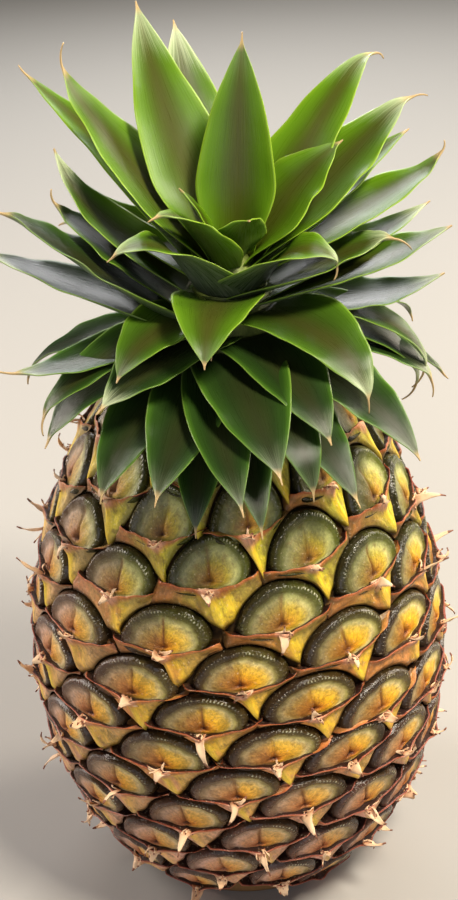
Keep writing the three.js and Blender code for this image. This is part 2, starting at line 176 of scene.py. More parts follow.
def lengthOf(tree, vector):
    return addNode(tree, "ShaderNodeVectorMath", {0: vector}, operation="LENGTH").outputs[1]


def objectPlace(tree):
    return addNode(tree, "ShaderNodeTexCoord", {}).outputs["Object"]


def skinNoise(tree, scale, detail=3.0, roughness=0.55):
    return noiseOf(tree, objectPlace(tree), scale, detail, roughness)


def bumpOf(tree, height, strength, distance):
    inputs = {"Height": height, "Strength": strength, "Distance": distance}
    return addNode(tree, "ShaderNodeBump", inputs).outputs[0]


def finishSurface(tree, surface, colour, normal, roughness=None):
    tree.links.new(colour, surface.inputs["Base Color"])
    tree.links.new(normal, surface.inputs["Normal"])
    if roughness is not None:
        tree.links.new(roughness, surface.inputs["Roughness"])


def newMaterial(name, **values):
    material = bpy.data.materials.new(name)
    material.use_nodes = True
    tree = material.node_tree
    surface = tree.nodes["Principled BSDF"]
    for socket, value in values.items():
        surface.inputs[socket.replace("_", " ")].default_value = value
    return material, tree, surface


def newGroup(name, inputs, outputs):
    group = bpy.data.node_groups.new(name, "ShaderNodeTree")
    for socket, kind, value in inputs:
        made = group.interface.new_socket(socket, in_out="INPUT", socket_type=kind)
        if value is not None:
            made.default_value = value
    for socket, kind in outputs:
        group.interface.new_socket(socket, in_out="OUTPUT", socket_type=kind)
    return group, group.nodes.new("NodeGroupInput"), group.nodes.new("NodeGroupOutput")


def useGroup(tree, group, **inputs):
    node = tree.nodes.new("ShaderNodeGroup")
    node.node_tree = group
    feed(tree, node, inputs)
    return node


# The camera and the studio.
studio = {
    "target": (0.0, 0.0, 0.141),
    "distance": 0.480,
    "elevation": 30.0,
    "roll": 3.15,
    "lens": 65.2,
    "sensor": 36.0,
    "floorHalf": 3.0,
    "floorColour": "a3a19d",
    "worldColour": "e8ecf2",
    "worldStrength": 0.07,
    # name: place, width, height, power in watts, colour; each faces the fruit
    "lights": {
        "topRight": ((0.32, -0.3, 0.9), 0.2, 0.2, 11.5, "fff4e2"),
        "leftBack": ((-0.62, 0.3, 0.4), 0.25, 0.5, 5.5, "fff4ea"),
        "rightBack": ((0.62, 0.35, 0.45), 0.25, 0.5, 7.0, "fff2e0"),
        "back": ((0.05, 0.95, 0.5), 0.6, 0.25, 5.0, "ffffff"),
        "frontFill": ((-1.2, -3.2, 0.9), 2.8, 2.8, 41.5, "f8f6ff"),
    },
}


def buildStudio():
    tilt = math.radians(studio["elevation"])
    target = studio["target"]
    place = (
        target[0],
        target[1] - studio["distance"] * math.cos(tilt),
        target[2] + studio["distance"] * math.sin(tilt),
    )
    camera = bpy.data.objects.new("camera", bpy.data.cameras.new("camera"))
    camera.data.lens = studio["lens"]
    camera.data.sensor_width = studio["sensor"]
    camera.data.clip_start = 0.01
    camera.location = place
    camera.rotation_euler = (math.pi / 2 - tilt, 0.0, 0.0)
    camera.rotation_euler.rotate_axis("Z", -math.radians(studio["roll"]))
    bpy.context.collection.objects.link(camera)
    bpy.context.scene.camera = camera

    world = bpy.data.worlds.new("studio")
    world.use_nodes = True
    sky = world.node_tree.nodes["Background"]
    sky.inputs["Color"].default_value = linearColour(studio["worldColour"])
    sky.inputs["Strength"].default_value = studio["worldStrength"]
    bpy.context.scene.world = world
    bpy.context.scene.view_settings.view_transform = "Standard"

    for name, (spot, width, height, power, colour) in studio["lights"].items():
        lamp = bpy.data.lights.new(name, "AREA")
        lamp.shape = "RECTANGLE"
        lamp.size = width
        lamp.size_y = height
        lamp.energy = power
        lamp.color = linearColour(colour)[:3]
        holder = bpy.data.objects.new(name, lamp)
        holder.location = spot
        holder.visible_camera = False
        away = [spot[i] - target[i] for i in range(3)]
        flat = math.hypot(away[0], away[1])
        turn = math.atan2(away[0], -away[1])
        holder.rotation_euler = (math.atan2(flat, away[2]), 0.0, turn)
        bpy.context.collection.objects.link(holder)

    mesh = bpy.data.meshes.new("floor")
    half = studio["floorHalf"]
    mesh.from_pydata([(-half, -half, 0), (half, -half, 0), (half, half, 0), (-half, half, 0)], [],
                     [(0, 1, 2, 3)])
    paint = {"Base_Color": linearColour(studio["floorColour"]), "Roughness": 0.8}
    mesh.materials.append(newMaterial("floorPaint", **paint)[0])
    floor = bpy.data.objects.new("floor", mesh)
    bpy.context.collection.objects.link(floor)


buildStudio()
print("studio: camera, floor and lights")


# Shared effects.
# the fruit's height in metres, and how many of its widths make a metre
levelSpan = {"height": 0.17, "across": 7.8}


def fruitLevelGroup():
    # How high on the fruit a point is, and how far round to the right, each from 0 to 1.
    group, entry, leave = newGroup(
        "fruitLevel", [("Place", "NodeSocketVector", None)],
        [("Level", "NodeSocketFloat"), ("Right", "NodeSocketFloat")])
    parts = separated(group, entry.outputs[0])
    level = sumOf(group, "DIVIDE", parts[2], levelSpan["height"])
    right = sumOf(group, "MULTIPLY_ADD", parts[0], levelSpan["across"], 0.5)
    group.links.new(level, leave.inputs[0])
    group.links.new(right, leave.inputs[1])
    return group


def streakGroup():
    # Fibres that run one way, from a vector that is already stretched.
    group, entry, leave = newGroup(
        "streaks",
        [("Place", "NodeSocketVector", None), ("Scale", "NodeSocketFloat", 1.0),
         ("Contrast", "NodeSocketFloat", 1.0)],
        [("Value", "NodeSocketFloat")])
    coarse = noiseOf(group, entry.outputs[0], entry.outputs[1], 4.0, 0.7)
    centred = sumOf(group, "SUBTRACT", coarse, 0.5)
    raised = sumOf(group, "MULTIPLY", centred, entry.outputs[2])
    value = sumOf(group, "ADD", raised, 0.5)
    group.links.new(value, leave.inputs[0])
    return group


fruitLevel = fruitLevelGroup()
streaks = streakGroup()


def levelOf(tree):
    return useGroup(tree, fruitLevel, Place=objectPlace(tree)).outputs


def fibreOf(tree, place, scale, contrast):
    return useGroup(tree, streaks, Place=place, Scale=scale, Contrast=contrast).outputs[0]


# The fruit's smooth skin, as in the solids.
fruit = {
    "radius": 64.0,
    "widest": 75.0,
    "crownReach": 108.0,
    "crownPower": 1.8,
    "baseReach": 90.0,
    "basePower": 2.1,
    "height": 170.0,
    "skinShare": 441.0,  # mm2 of skin for each fruitlet
    "goldenAngle": 137.508,
    "firstAzimuth": -27.9,
    "widestIndex": 52.3,
    "profileSteps": (40, 601, 40),  # over the shoulder, down the side and across the base
    "least": 0.85,  # of the relief, in the weakest fruitlet
    "spread": 0.3,
    "baseFade": 6.0,  # heights over which the relief fades, at the base and at the crown
    "crownFade": 22.0,
    "crownLoss": 0.75,
    "middleFade": 30.0,  # radius inside which it fades
    "belowLeft": 13,  # from a fruitlet to the two whose eyes lie below it
    "belowRight": 8,
    "grooveLift": -3.3,  # of the dark skin between the eyes
    "lowestEye": 3.0,  # height over which there are eyes
    "firstEye": 4,  # fruitlets nearer to the crown than this are hidden by it
    "perBand": 44,  # eyes in each piece
}


def fruitRadius(height):
    above = np.asarray(height, float) - fruit["widest"]
    reach = np.where(above >= 0, fruit["crownReach"], fruit["baseReach"])
    power = np.where(above >= 0, fruit["crownPower"], fruit["basePower"])
    share = np.clip(np.abs(above) / reach, 0, 1)
    return fruit["radius"] * (1 - share**power) ** (1 / power)


def skinProfile():
    shoulderSteps, sideSteps, baseSteps = fruit["profileSteps"]
    side = np.linspace(fruit["height"], 0, sideSteps)
    shoulder = np.linspace(0, fruitRadius(fruit["height"]), shoulderSteps, endpoint=False)
    floor = np.linspace(fruitRadius(0.0), 0, baseSteps)[1:]
    radius = np.concatenate([shoulder, fruitRadius(side), floor])
    height = np.concatenate([shoulder * 0 + fruit["height"], side, floor * 0])
    length = np.hypot(np.diff(radius), np.diff(height))
    area = np.pi * (radius[1:] + radius[:-1]) * length
    swept = np.concatenate([[0], np.cumsum(area)]) / fruit["skinShare"]
    return radius, height, swept


profileRadius, profileHeight, profileSwept = skinProfile()
topIndex = fruit["widestIndex"] - np.interp(-fruit["widest"], -profileHeight, profileSwept)
baseIndex = topIndex + profileSwept[-1]
downPerIndex = fruit["skinShare"] / (2 * math.pi * fruit["radius"])


def skinDirections(height):
    level = np.clip(height, 1, fruit["height"] - 1)
    slope = fruitRadius(level + 0.5) - fruitRadius(level - 0.5)
    length = np.hypot(1.0, slope)
    return 1 / length, -slope / length


def skinPoints(index, azimuth, lift):
    swept = np.clip(index - topIndex, 0, profileSwept[-1])
    radius = np.interp(swept, profileSwept, profileRadius)
    height = np.interp(swept, profileSwept, profileHeight)
    out, up = skinDirections(height)
    base = smoothStep(height, 0, fruit["baseFade"])
    fading = smoothStep(height, fruit["height"] - fruit["crownFade"], fruit["height"])
    crown = 1 - fruit["crownLoss"] * fading
    middle = np.minimum(radius / fruit["middleFade"], 1) ** 4
    lift = lift * np.minimum(np.minimum(base, crown), middle)
    reach = radius + lift * out
    z = np.maximum(height + lift * up, 0)
    return np.stack([reach * np.sin(azimuth), -reach * np.cos(azimuth), z], -1), height


# how far single fruitlets sit from their even place, in millimetres round and up
fruitletShift = {
    0: (3.0, 3.5), 3: (-1.5, 0.0), 8: (-0.5, 3.0), 11: (-1.0, -1.5), 13: (2.0, 3.0),
    21: (-1.5, 0.0), 24: (-2.5, -3.0), 29: (0.0, -1.0), 34: (2.5, -1.0), 37: (-2.0, -3.0),
    42: (1.5, 0.0), 45: (-1.5, -3.0), 50: (0.0, -2.5), 55: (3.0, 0.0), 63: (1.5, -1.5),
}


def fruitletPoints(order, x, y, lift):
    # x and y are millimetres from the middle of a bract's margin, on the widest level.
    azimuth = math.radians(fruit["firstAzimuth"] + order * fruit["goldenAngle"])
    shiftX, shiftY = fruitletShift.get(order, (0.0, 0.0))
    strength = fruit["least"] + fruit["spread"] * chance(order)
    points, _ = skinPoints(
        order - (y + shiftY) / downPerIndex, azimuth + (x + shiftX) / fruit["radius"],
        lift * strength)
    return points


def neighbourOffset(order, other):
    # Where the middle of another fruitlet's margin lies, in this one's millimetres.
    shiftX, shiftY = fruitletShift.get(order, (0.0, 0.0))
    otherX, otherY = fruitletShift.get(other, (0.0, 0.0))
    turn = math.radians(math.remainder((other - order) * fruit["goldenAngle"], 360))
    return (turn * fruit["radius"] + otherX - shiftX,
            (order - other) * downPerIndex + otherY - shiftY)


orders = range(math.ceil(topIndex), math.floor(baseIndex) + 1)


def fruitletHeight(order):
    return float(skinPoints(np.array([float(order)]), np.array([0.0]), np.array([0.0]))[1][0])


eyeOrders = [k for k in orders
             if fruitletHeight(k) > fruit["lowestEye"] and k - topIndex > fruit["firstEye"]]
perBand = fruit["perBand"]
bands = [eyeOrders[:perBand], eyeOrders[perBand : 2 * perBand], eyeOrders[2 * perBand :]]
bandNames = ["top", "middle", "foot"]

# The dark skin under the eyes and bracts, its near-black browns partly painted shade in the gaps
# between them.
groove = {"deep": "20150a", "shallow": "4e3819", "foot": "80603c", "grain": 420.0,
          "sides": 120, "rows": 130}


def buildGrooveSkin():
    indices = np.linspace(topIndex, baseIndex, groove["rows"])
    turns = np.linspace(0, 2 * math.pi, groove["sides"], endpoint=False)
    index, azimuth = np.meshgrid(indices[1:-1], turns, indexing="ij")
    points, _ = skinPoints(index, azimuth, np.full(index.shape, fruit["grooveLift"]))
    rows, columns = index.shape
    flat = points.reshape(-1, 3)
    ends = np.array([[0, 0, fruit["height"]], [0, 0, 0.0]])
    faces = [face[::-1] for face in gridFaces(rows, columns, closed=True)]
    top, foot = rows * columns, rows * columns + 1
    for column in range(columns):
        right = (column + 1) % columns
        faces.append((top, column, right))
        low = (rows - 1) * columns
        faces.append((foot, low + right, low + column))
    material, tree, surface = newMaterial("grooveSkin", Roughness=0.85, Specular_IOR_Level=0.15)
    grain = skinNoise(tree, groove["grain"])
    colour = rampOf(tree, grain, [(0.35, groove["deep"]), (0.7, groove["shallow"])])
    wander = sumOf(tree, "MULTIPLY_ADD", grain, 0.05, levelOf(tree)[0])
    colour = tinted(tree, colour, rangeOf(tree, wander, 0.1, 0.04), groove["foot"])
    finishSurface(tree, surface, colour, bumpOf(tree, grain, 0.5, 0.0006))
    return addPiece("fruit_groove_skin", np.vstack([flat, ends]), faces, material, {})


grooveSkin = buildGrooveSkin()

# The eyes: a wet rolled rim round a pale face that folds into a pit over the bract.
eye = {
    # the outline in millimetres, from the middle of the foot round to the right
    "outline": [(-3.0, -1.8), (4.0, -1.4), (11.0, 0.2), (13.6, 3.2), (12.8, 7.0), (8.8, 10.3),
                (2.6, 12.0), (-4.0, 11.4), (-9.4, 8.8), (-12.6, 5.2), (-13.5, 1.6), (-10.6, -0.8)],
    "middle": (0.0, 5.0),
    "wideLow": 1.0,  # share of the outline's width at the foot and near the crown
    "wideHigh": 1.12,
    "wideSpan": (30, 115),  # heights between which it widens
    "wobble": 0.09,  # share by which an outline wanders, and by which eyes differ in size
    "sizeSpread": 0.06,
    "phase": 6.28,  # one turn of the wander, in radians
    "turn": 3.0,  # degrees, right end up, and their spread
    "turnSpread": 6.0,
    "pit": (0.2, 1.1),
    "pitWander": (1.6, 0.8),  # right and up, from end to end
    "around": 72,
    # share of the way from the outline to the pit, and the height there
    "rings": [
        (0.0, -5.8), (0.0, -4.6), (0.006, -3.4), (0.02, -2.2), (0.042, -1.2), (0.072, -0.5),
        (0.108, -0.08), (0.15, 0.1), (0.192, 0.06), (0.232, -0.18), (0.272, -0.5),
        (0.32, -0.78), (0.38, -0.95), (0.47, -1.0), (0.57, -0.95), (0.67, -0.85),
        (0.77, -0.8), (0.86, -0.85), (0.94, -1.1), (1.0, -1.7),
    ],
    "waver": 0.35,  # heights of the face's ripple and lobes, the crease and the rim's beads
    "lobes": 0.35,
    "crease": 0.4,
    "beadRelief": 0.08,
    "beadCounts": (34, 21),
    "creaseHalf": 0.55,
    "creaseLean": (-0.12, 0.25),
    "beadStep": 1.3,  # between the wet beads along the rim
    # colours from the outline to the pit, left and right of the crease: ripe and near the
    # crown, and those of a dry eye
    "ripeLeft": [(0.0, "2a1d10"), (0.05, "2c2014"), (0.14, "34271a"), (0.24, "4a3c22"),
                 (0.31, "7a6c42"), (0.38, "9c8a5c"), (0.5, "a0803f"), (0.72, "a8702a"),
                 (0.9, "84501f"), (0.99, "4a2410")],
    "ripeRight": [(0.0, "2e2210"), (0.05, "332812"), (0.14, "46381a"), (0.24, "5f5322"),
                  (0.31, "aca05a"), (0.38, "d8c684"), (0.48, "e2ba48"), (0.68, "efb422"),
                  (0.86, "d88d1e"), (0.95, "8f4c1b"), (0.99, "4a2410")],
    "highLeft": [(0.0, "24200f"), (0.05, "262412"), (0.14, "34331a"), (0.25, "484a22"),
                 (0.33, "6c6f42"), (0.42, "86865a"), (0.6, "847c40"), (0.85, "7c5c2a"),
                 (0.99, "402410")],
    "highRight": [(0.0, "28240f"), (0.05, "2c2d12"), (0.14, "474b1c"), (0.25, "62672a"),
                  (0.33, "969a5c"), (0.42, "b3b26c"), (0.6, "bba93c"), (0.85, "b98a28"),
                  (0.99, "4a2410")],
    "dry": [(0.0, "38241c"), (0.05, "402a20"), (0.14, "624236"), (0.25, "80604e"),
            (0.33, "987464"), (0.42, "cca28e"), (0.6, "d29a72"), (0.85, "b46e48"),
            (0.99, "4a2012")],
    # how fine the mottling is: blotches, brown patches, uneven creases and pores
    "blotch": 170.0,
    "patch": 420.0,
    "broad": 55.0,
    "pore": 1500.0,
    "creaseColour": "6e3f18",
    # pale paint for the beads' painted highlight
    "beadHighlightColour": "c9c7a6",
    "fleckColour": "e8dcc0",
}


def smoothLoop(corners, count):
    # A closed smooth curve through the corners.
    corners = np.array(corners, float)
    at = np.arange(count) * len(corners) / count
    first = np.floor(at).astype(int)
    t = (at - first)[:, None]
    a, b, c, d = (corners[(first + step) % len(corners)] for step in (-1, 0, 1, 2))
    return b + 0.5 * t * (c - a + t * (2 * a - 5 * b + 4 * c - d + t * (3 * (b - c) + d - a)))


def eyeOutline(order, swell=0.0):
    loop = smoothLoop(eye["outline"], eye["around"]) - eye["middle"]
    angle = np.arctan2(loop[:, 1], loop[:, 0])
    wobble = sum(
        (chance(order * 3.1 + n) - 0.5)
        * np.cos(n * angle + eye["phase"] * chance(order * 1.7 + n)) / n
        for n in (2, 3, 4, 5))
    grow = 1 + eye["wobble"] * wobble + eye["sizeSpread"] * (chance(order + 0.6) - 0.5)
    grow = grow + swell / np.hypot(loop[:, 0], loop[:, 1])
    upShare = smoothStep(fruitletHeight(order), *eye["wideSpan"])
    wide = between(eye["wideLow"], eye["wideHigh"], upShare)
    turn = math.radians(eye["turn"] + eye["turnSpread"] * (chance(order + 0.4) - 0.5))
    x, y = loop[:, 0] * wide * grow, loop[:, 1] * grow
    return (eye["middle"][0] + x * math.cos(turn) - y * math.sin(turn),
            eye["middle"][1] + x * math.sin(turn) + y * math.cos(turn))


def eyeShape(order):
    around = eye["around"]
    outlineX, outlineY = eyeOutline(order)
    pitX = eye["pit"][0] + eye["pitWander"][0] * (chance(order + 0.8) - 0.5)
    pitY = eye["pit"][1] + eye["pitWander"][1] * (chance(order + 0.9) - 0.5)
    angle = np.arctan2(outlineY - pitY, outlineX - pitX)
    share = np.array([ring[0] for ring in eye["rings"]])[:, None]
    lift = np.array([ring[1] for ring in eye["rings"]])[:, None] * np.ones(around)
    gridX = between(outlineX, pitX, share)
    gridY = between(outlineY, pitY, share)
    inside = smoothStep(share, 0.2, 0.4) * (1 - smoothStep(share, 0.85, 1.0))
    # three sepals meet in a crease above the pit
    lean = pitX - (gridY - pitY) * between(*eye["creaseLean"], chance(order + 0.3))
    crease = np.exp(-(((gridX - lean) / eye["creaseHalf"]) ** 2)) * (gridY > pitY)
    lift = lift - eye["crease"] * crease * inside
    lift = lift + eye["lobes"] * inside * np.abs(np.cos(angle)) ** 0.7
    seed = chance(order * 0.37 + 0.2) * 40
    ripple = np.sin(gridX * 0.9 + seed) * np.sin(gridY * 1.1 + seed * 1.3)
    lift = lift + eye["waver"] * 0.5 * ripple * smoothStep(share, 0.05, 0.2)
    fine, coarse = eye["beadCounts"]
    beads = np.sin(angle * fine + seed) * np.sin(angle * coarse + 2 * seed)
    rim = 1 - smoothStep(share, 0.15, 0.26)
    lift = lift + eye["beadRelief"] * beads * smoothStep(share, 0.03, 0.1) * rim
    points = fruitletPoints(order, gridX, gridY, lift)
    steps = np.hypot(np.diff(outlineX), np.diff(outlineY))
    walk = np.concatenate([[0], np.cumsum(steps)])
    ringMark = np.broadcast_to(share, gridX.shape)
    shape = np.stack([ringMark, np.broadcast_to(walk, gridX.shape), crease * inside], -1)
    place = np.stack([gridX - lean, gridY - pitY, np.full(gridX.shape, seed)], -1)
    return points, shape, place


def buildEyes(material):
    rings = len(eye["rings"])
    around = eye["around"]
    pieces = []
    for name, band in zip(bandNames, bands):
        points, shapes, places, faces = [], [], [], []
        first = 0
        for order in band:
            grid, shape, place = eyeShape(order)
            # the last ring is the pit itself and the foot has a middle of its own
            points += [grid[:-1].reshape(-1, 3), grid[-1][:1], grid[0].mean(0, keepdims=True)]
            for marks, values in ((shapes, shape), (places, place)):
                marks += [values[:-1].reshape(-1, 3), values[-1][:1], values[0][:1]]
            faces += gridFaces(rings - 1, around, first, closed=True)
            last = first + (rings - 2) * around
            pit = first + (rings - 1) * around
            for column in range(around):
                right = (column + 1) % around
                faces.append((last + column, last + right, pit))
                faces.append((first + right, first + column, pit + 1))
            first = pit + 2
        marks = {"shape": np.vstack(shapes), "place": np.vstack(places)}
        pieces.append(addPiece("fruit_eyes_" + name, np.vstack(points), faces, material,
                               marks))
    return pieces


def eyeMaterial():
    material, tree, surface = newMaterial("eyeSkin", Roughness=0.3, IOR=1.42)
    ring, walk, crease = separated(tree, markOf(tree, "shape", "Vector"))
    place = markOf(tree, "place", "Vector")
    right, up, own = separated(tree, place)
    level, toRight = levelOf(tree)
    outward = addNode(tree, "ShaderNodeVectorMath", {0: stretched(tree, place, (1, 1, 0))},
                      operation="NORMALIZE").outputs[0]
    outParts = separated(tree, outward)
    depth = sumOf(tree, "MULTIPLY_ADD", ring, 1.6, own)
    fibrePlace = combined(tree, outParts[0], outParts[1], depth)
    fibre = fibreOf(tree, fibrePlace, 7.0, 1.5)
    blotch = skinNoise(tree, eye["blotch"], 4.0, 0.65)
    shifted = sumOf(tree, "MULTIPLY_ADD", blotch, 0.3, ring)
    shifted = sumOf(tree, "SUBTRACT", shifted, 0.15)
    # yellow fills the face right of the crease
    lit = rangeOf(tree, sumOf(tree, "MULTIPLY_ADD", blotch, 5.0, right), 0.6, 4.8)
    ripe = colourMix(tree, lit, rampOf(tree, shifted, eye["ripeLeft"]),
                     rampOf(tree, shifted, eye["ripeRight"]))
    green = colourMix(tree, lit, rampOf(tree, shifted, eye["highLeft"]),
                      rampOf(tree, shifted, eye["highRight"]))
    wander = sumOf(tree, "MULTIPLY_ADD", blotch, 0.2, level)
    colour = colourMix(tree, rangeOf(tree, wander, 0.68, 0.88), ripe, green)
    # pink, drier colours low on the fruit, and also towards its left side, where the paler pink is
    # a painted sheen of the lamps on the left
    low = rangeOf(tree, level, 0.56, 0.16, 0.0, 0.95)
    left = rangeOf(tree, toRight, 0.38, 0.02, 0.0, 0.8)
    dry = sumOf(tree, "MAXIMUM", low, left)
    dry = product(tree, dry, sumOf(tree, "MULTIPLY_ADD", lit, -0.45, 1.0))
    colour = colourMix(tree, dry, colour, rampOf(tree, shifted, eye["dry"]))
    inner = rangeOf(tree, ring, 0.2, 0.4)
    patch = rangeOf(tree, skinNoise(tree, eye["patch"], 3.0, 0.7), 0.52, 0.72, 0.0, 0.4)
    broad = skinNoise(tree, eye["broad"], 2.0)
    crease = product(tree, crease, rangeOf(tree, broad, 0.4, 0.58, 0.2, 0.9))
    patch = sumOf(tree, "MAXIMUM", product(tree, patch, inner), crease)
    colour = tinted(tree, colour, patch, eye["creaseColour"])
    shade = rangeOf(tree, fibre, 0.15, 0.85, 0.7, 1.34)
    shade = sumOf(tree, "MULTIPLY_ADD", sumOf(tree, "SUBTRACT", shade, 1.0), inner, 1.0)
    colour = shadedBy(tree, colour, shade)
    grain = skinNoise(tree, eye["pore"], 2.0)
    flecks = rangeOf(tree, grain, 0.62, 0.78, 0.0, 0.35)
    colour = tinted(tree, colour, flecks, eye["fleckColour"])
    # wet beads along the rim's crest, fibres and pores on the face
    crest = product(tree, rangeOf(tree, ring, 0.08, 0.14), rangeOf(tree, ring, 0.21, 0.15))
    beads = sumOf(tree, "SINE", product(tree, walk, math.pi / eye["beadStep"]))
    beads = product(tree, sumOf(tree, "ABSOLUTE", beads), crest,
                    rangeOf(tree, blotch, 0.36, 0.58, 0.15, 1.0))
    # a painted highlight: the beads' tops towards the upper right painted pale, where the key light
    # glints
    paintedBeadHighlight = product(tree, rangeOf(tree, beads, 0.55, 0.95), rangeOf(tree, up, 3.0, 7.0, 0.1, 0.75),
                    rangeOf(tree, right, -8.0, 5.0, 0.1, 1.0), rangeOf(tree, blotch, 0.42, 0.62))
    colour = tinted(tree, colour, paintedBeadHighlight, eye["beadHighlightColour"])
    rim = rangeOf(tree, ring, 0.34, 0.2)
    rough = sumOf(tree, "MULTIPLY_ADD", fibre, 1.0, grain)
    small = bumpOf(tree, rough, 0.5, 0.0003)
    bump = addNode(tree, "ShaderNodeBump", {"Height": beads, "Strength": 0.55, "Distance": 0.0005,
                                            "Normal": small})
    finishSurface(tree, surface, colour, bump.outputs[0], rangeOf(tree, rim, 0.0, 1.0, 0.42, 0.16))
    return material


eyePieces = buildEyes(eyeMaterial())
print("fruit: dark skin and", len(eyeOrders), "eyes")

# The bracts: a scale under each eye with a raised red margin, two horns and a yellow keel.
bract = {
    "leftHorn": (-19.3, 1.0),
    "rightHorn": (18.0, 3.8),
    "foot": (4.6, -10.6),
    "across": 44,
    "down": 12,
    "thick": 0.55,
    "sunk": -6.0,  # height of the walls' foot
    "gap": 0.25,  # to the eyes below
    "leftSteps": (42, 22, -2),  # steps of those eyes' outlines that its sides follow
    "rightSteps": (56, 41, -2),
    "marginSag": 0.5,
    "marginWaves": ((0.25, 7), (0.12, 19)),  # height and count
    "undercut": (0.05, 0.15),
    "wallBack": (0.97, 1.0),
    "lipSpan": (20, 95),  # heights on the fruit between which the lip grows
    "lip": 0.9,
    "lipLow": 0.5,  # near the foot of the fruit
    "face": -0.5,
    "edge": -1.6,  # height beside the eyes below
    "leftLift": -3.0,  # heights where the horns end
    "rightLift": -1.0,
    "keel": 0.8,
    "knot": 1.2,  # swelling under the dry tip, with its half width and reach
    "knotHalf": 3.0,
    "knotReach": 2.2,
    # colours across the scale, left to right: on ripe skin, near the crown and near the foot
    "ripe": [(0.0, "7a5a2e"), (0.12, "b07238"), (0.3, "de9448"), (0.42, "d68e3e"),
             (0.5, "d89c34"), (0.57, "eec02e"), (0.68, "dcb04e"), (0.8, "cc9c50"),
             (0.92, "d0803e"), (1.0, "b4602e")],
    "high": [(0.0, "6a5428"), (0.16, "b8783a"), (0.34, "ac9038"), (0.5, "a8a22e"),
             (0.57, "dacc34"), (0.67, "a8a036"), (0.85, "8c8232"), (1.0, "a06a34")],
    "low": [(0.0, "70443f"), (0.22, "c07e70"), (0.45, "d89a86"), (0.56, "e4ac78"),
            (0.7, "d69c8c"), (1.0, "9c6058")],
    # how fine the mottling is: blotches, brown patches, uneven keels and pores
    "blotch": 120.0,
    "patch": 330.0,
    "broad": 24.0,
    "pore": 1300.0,
    "knotColour": "d8a080",
    "patchColour": "6a4e22",
    "keelColour": "f0cc34",
    "marginColour": "b05a2c",
    "lineColour": "8c3a20",
    # the wall behind the margin: dark skin with painted shade under the lip
    "backColour": "2c150e",
    # painted shade where the scale dips
    "dipShadeColour": "4a3414",
    "fleckColour": "ecd8b4",
}


def bractUnderside(order, share):
    # Along the two eyes below, from the left horn by the foot to the right horn.
    sides = []
    for step, steps, start, end in (
            (fruit["belowLeft"], bract["leftSteps"], bract["leftHorn"], bract["foot"]),
            (fruit["belowRight"], bract["rightSteps"], bract["foot"], bract["rightHorn"])):
        awayX, awayY = neighbourOffset(order, order + step)
        x, y = eyeOutline(order + step, bract["gap"])
        line = np.array([start, *((awayX + x[n], awayY + y[n]) for n in range(*steps)), end])
        walked = np.concatenate([[0], np.cumsum(np.hypot(*np.diff(line, axis=0).T))])
        sides.append((line, walked / walked[-1]))
    (leftLine, leftWalk), (rightLine, rightWalk) = sides
    ends = []
    for axis in (0, 1):
        before = np.interp(share + 1, leftWalk, leftLine[:, axis])
        after = np.interp(share, rightWalk, rightLine[:, axis])
        ends.append(np.where(share < 0, before, after))
    return ends


def bractShape(order):
    across = np.linspace(-1, 1, bract["across"] + 1)
    down = np.linspace(0, 1, bract["down"] + 1) ** 1.25
    a, b = np.meshgrid(across, down, indexing="xy")
    seed = chance(order * 0.53 + 0.7) * 30
    leftX, leftY = bract["leftHorn"]
    rightX, rightY = bract["rightHorn"]
    size = np.abs(a)
    marginX = np.where(a < 0, -leftX, rightX) * a
    sag = bract["marginSag"] * size * (1 - size)
    marginY = np.where(a < 0, leftY * size**2 + sag, rightY * size**1.5)
    (slow, slowCount), (quick, quickCount) = bract["marginWaves"]
    marginY = marginY + slow * np.sin(a * slowCount + seed) * (1 - size)
    marginY = marginY + quick * np.sin(a * quickCount + seed)
    underX, underY = bractUnderside(order, across)
    underX, underY = underX[None], underY[None]
    x = between(marginX, underX, b)
    y = between(marginY, underY, b ** between(0.9, 1.2, size))
    drop = np.hypot(underX - marginX, underY - marginY)
    fromMargin, fromEyes = b * drop, (1 - b) * drop
    upShare = smoothStep(fruitletHeight(order), *bract["lipSpan"])
    lip = between(bract["lipLow"], bract["lip"], upShare)
    lift = between(lip, bract["face"], smoothStep(fromMargin, 0.2, 2.6))
    lift = between(lift, bract["edge"], (1 - smoothStep(fromEyes, 0, 2.2)) * smoothStep(b, 0, 0.5))
    hornLift = np.where(a < 0, bract["leftLift"], bract["rightLift"])
    lift = between(lift, hornLift, smoothStep(size, 0.8, 1.0))
    keelLine = np.exp(-((a / between(0.05, 0.12, b)) ** 2))
    lift = lift + bract["keel"] * keelLine * smoothStep(b, 0.02, 0.2) * (1 - b) ** 0.4
    lift = lift + 0.3 * np.sin(a * 9 + seed) * b * (1 - b) * 2
    knot = np.exp(-((x / bract["knotHalf"]) ** 2) - ((y + 0.6) / bract["knotReach"]) ** 2)
    lift = lift + bract["knot"] * (0.6 + 0.8 * chance(order + 0.45)) * knot
    lift = lift + 0.5 * (chance(order + 0.15) - 0.5) * (1 - size)
    top = fruitletPoints(order, x, y, lift)
    # the margin's underside, then the walls down into the dark skin
    aside, below = bract["undercut"]
    underEdge = fruitletPoints(order, x[0] + aside, y[0] - below, lift[0] - bract["thick"])
    narrower, back = bract["wallBack"]
    sink = np.full(a.shape[1], bract["sunk"])
    underWall = fruitletPoints(order, x[0] * narrower, y[0] - back, sink)
    return top, underEdge, underWall, a, b, x, y, seed


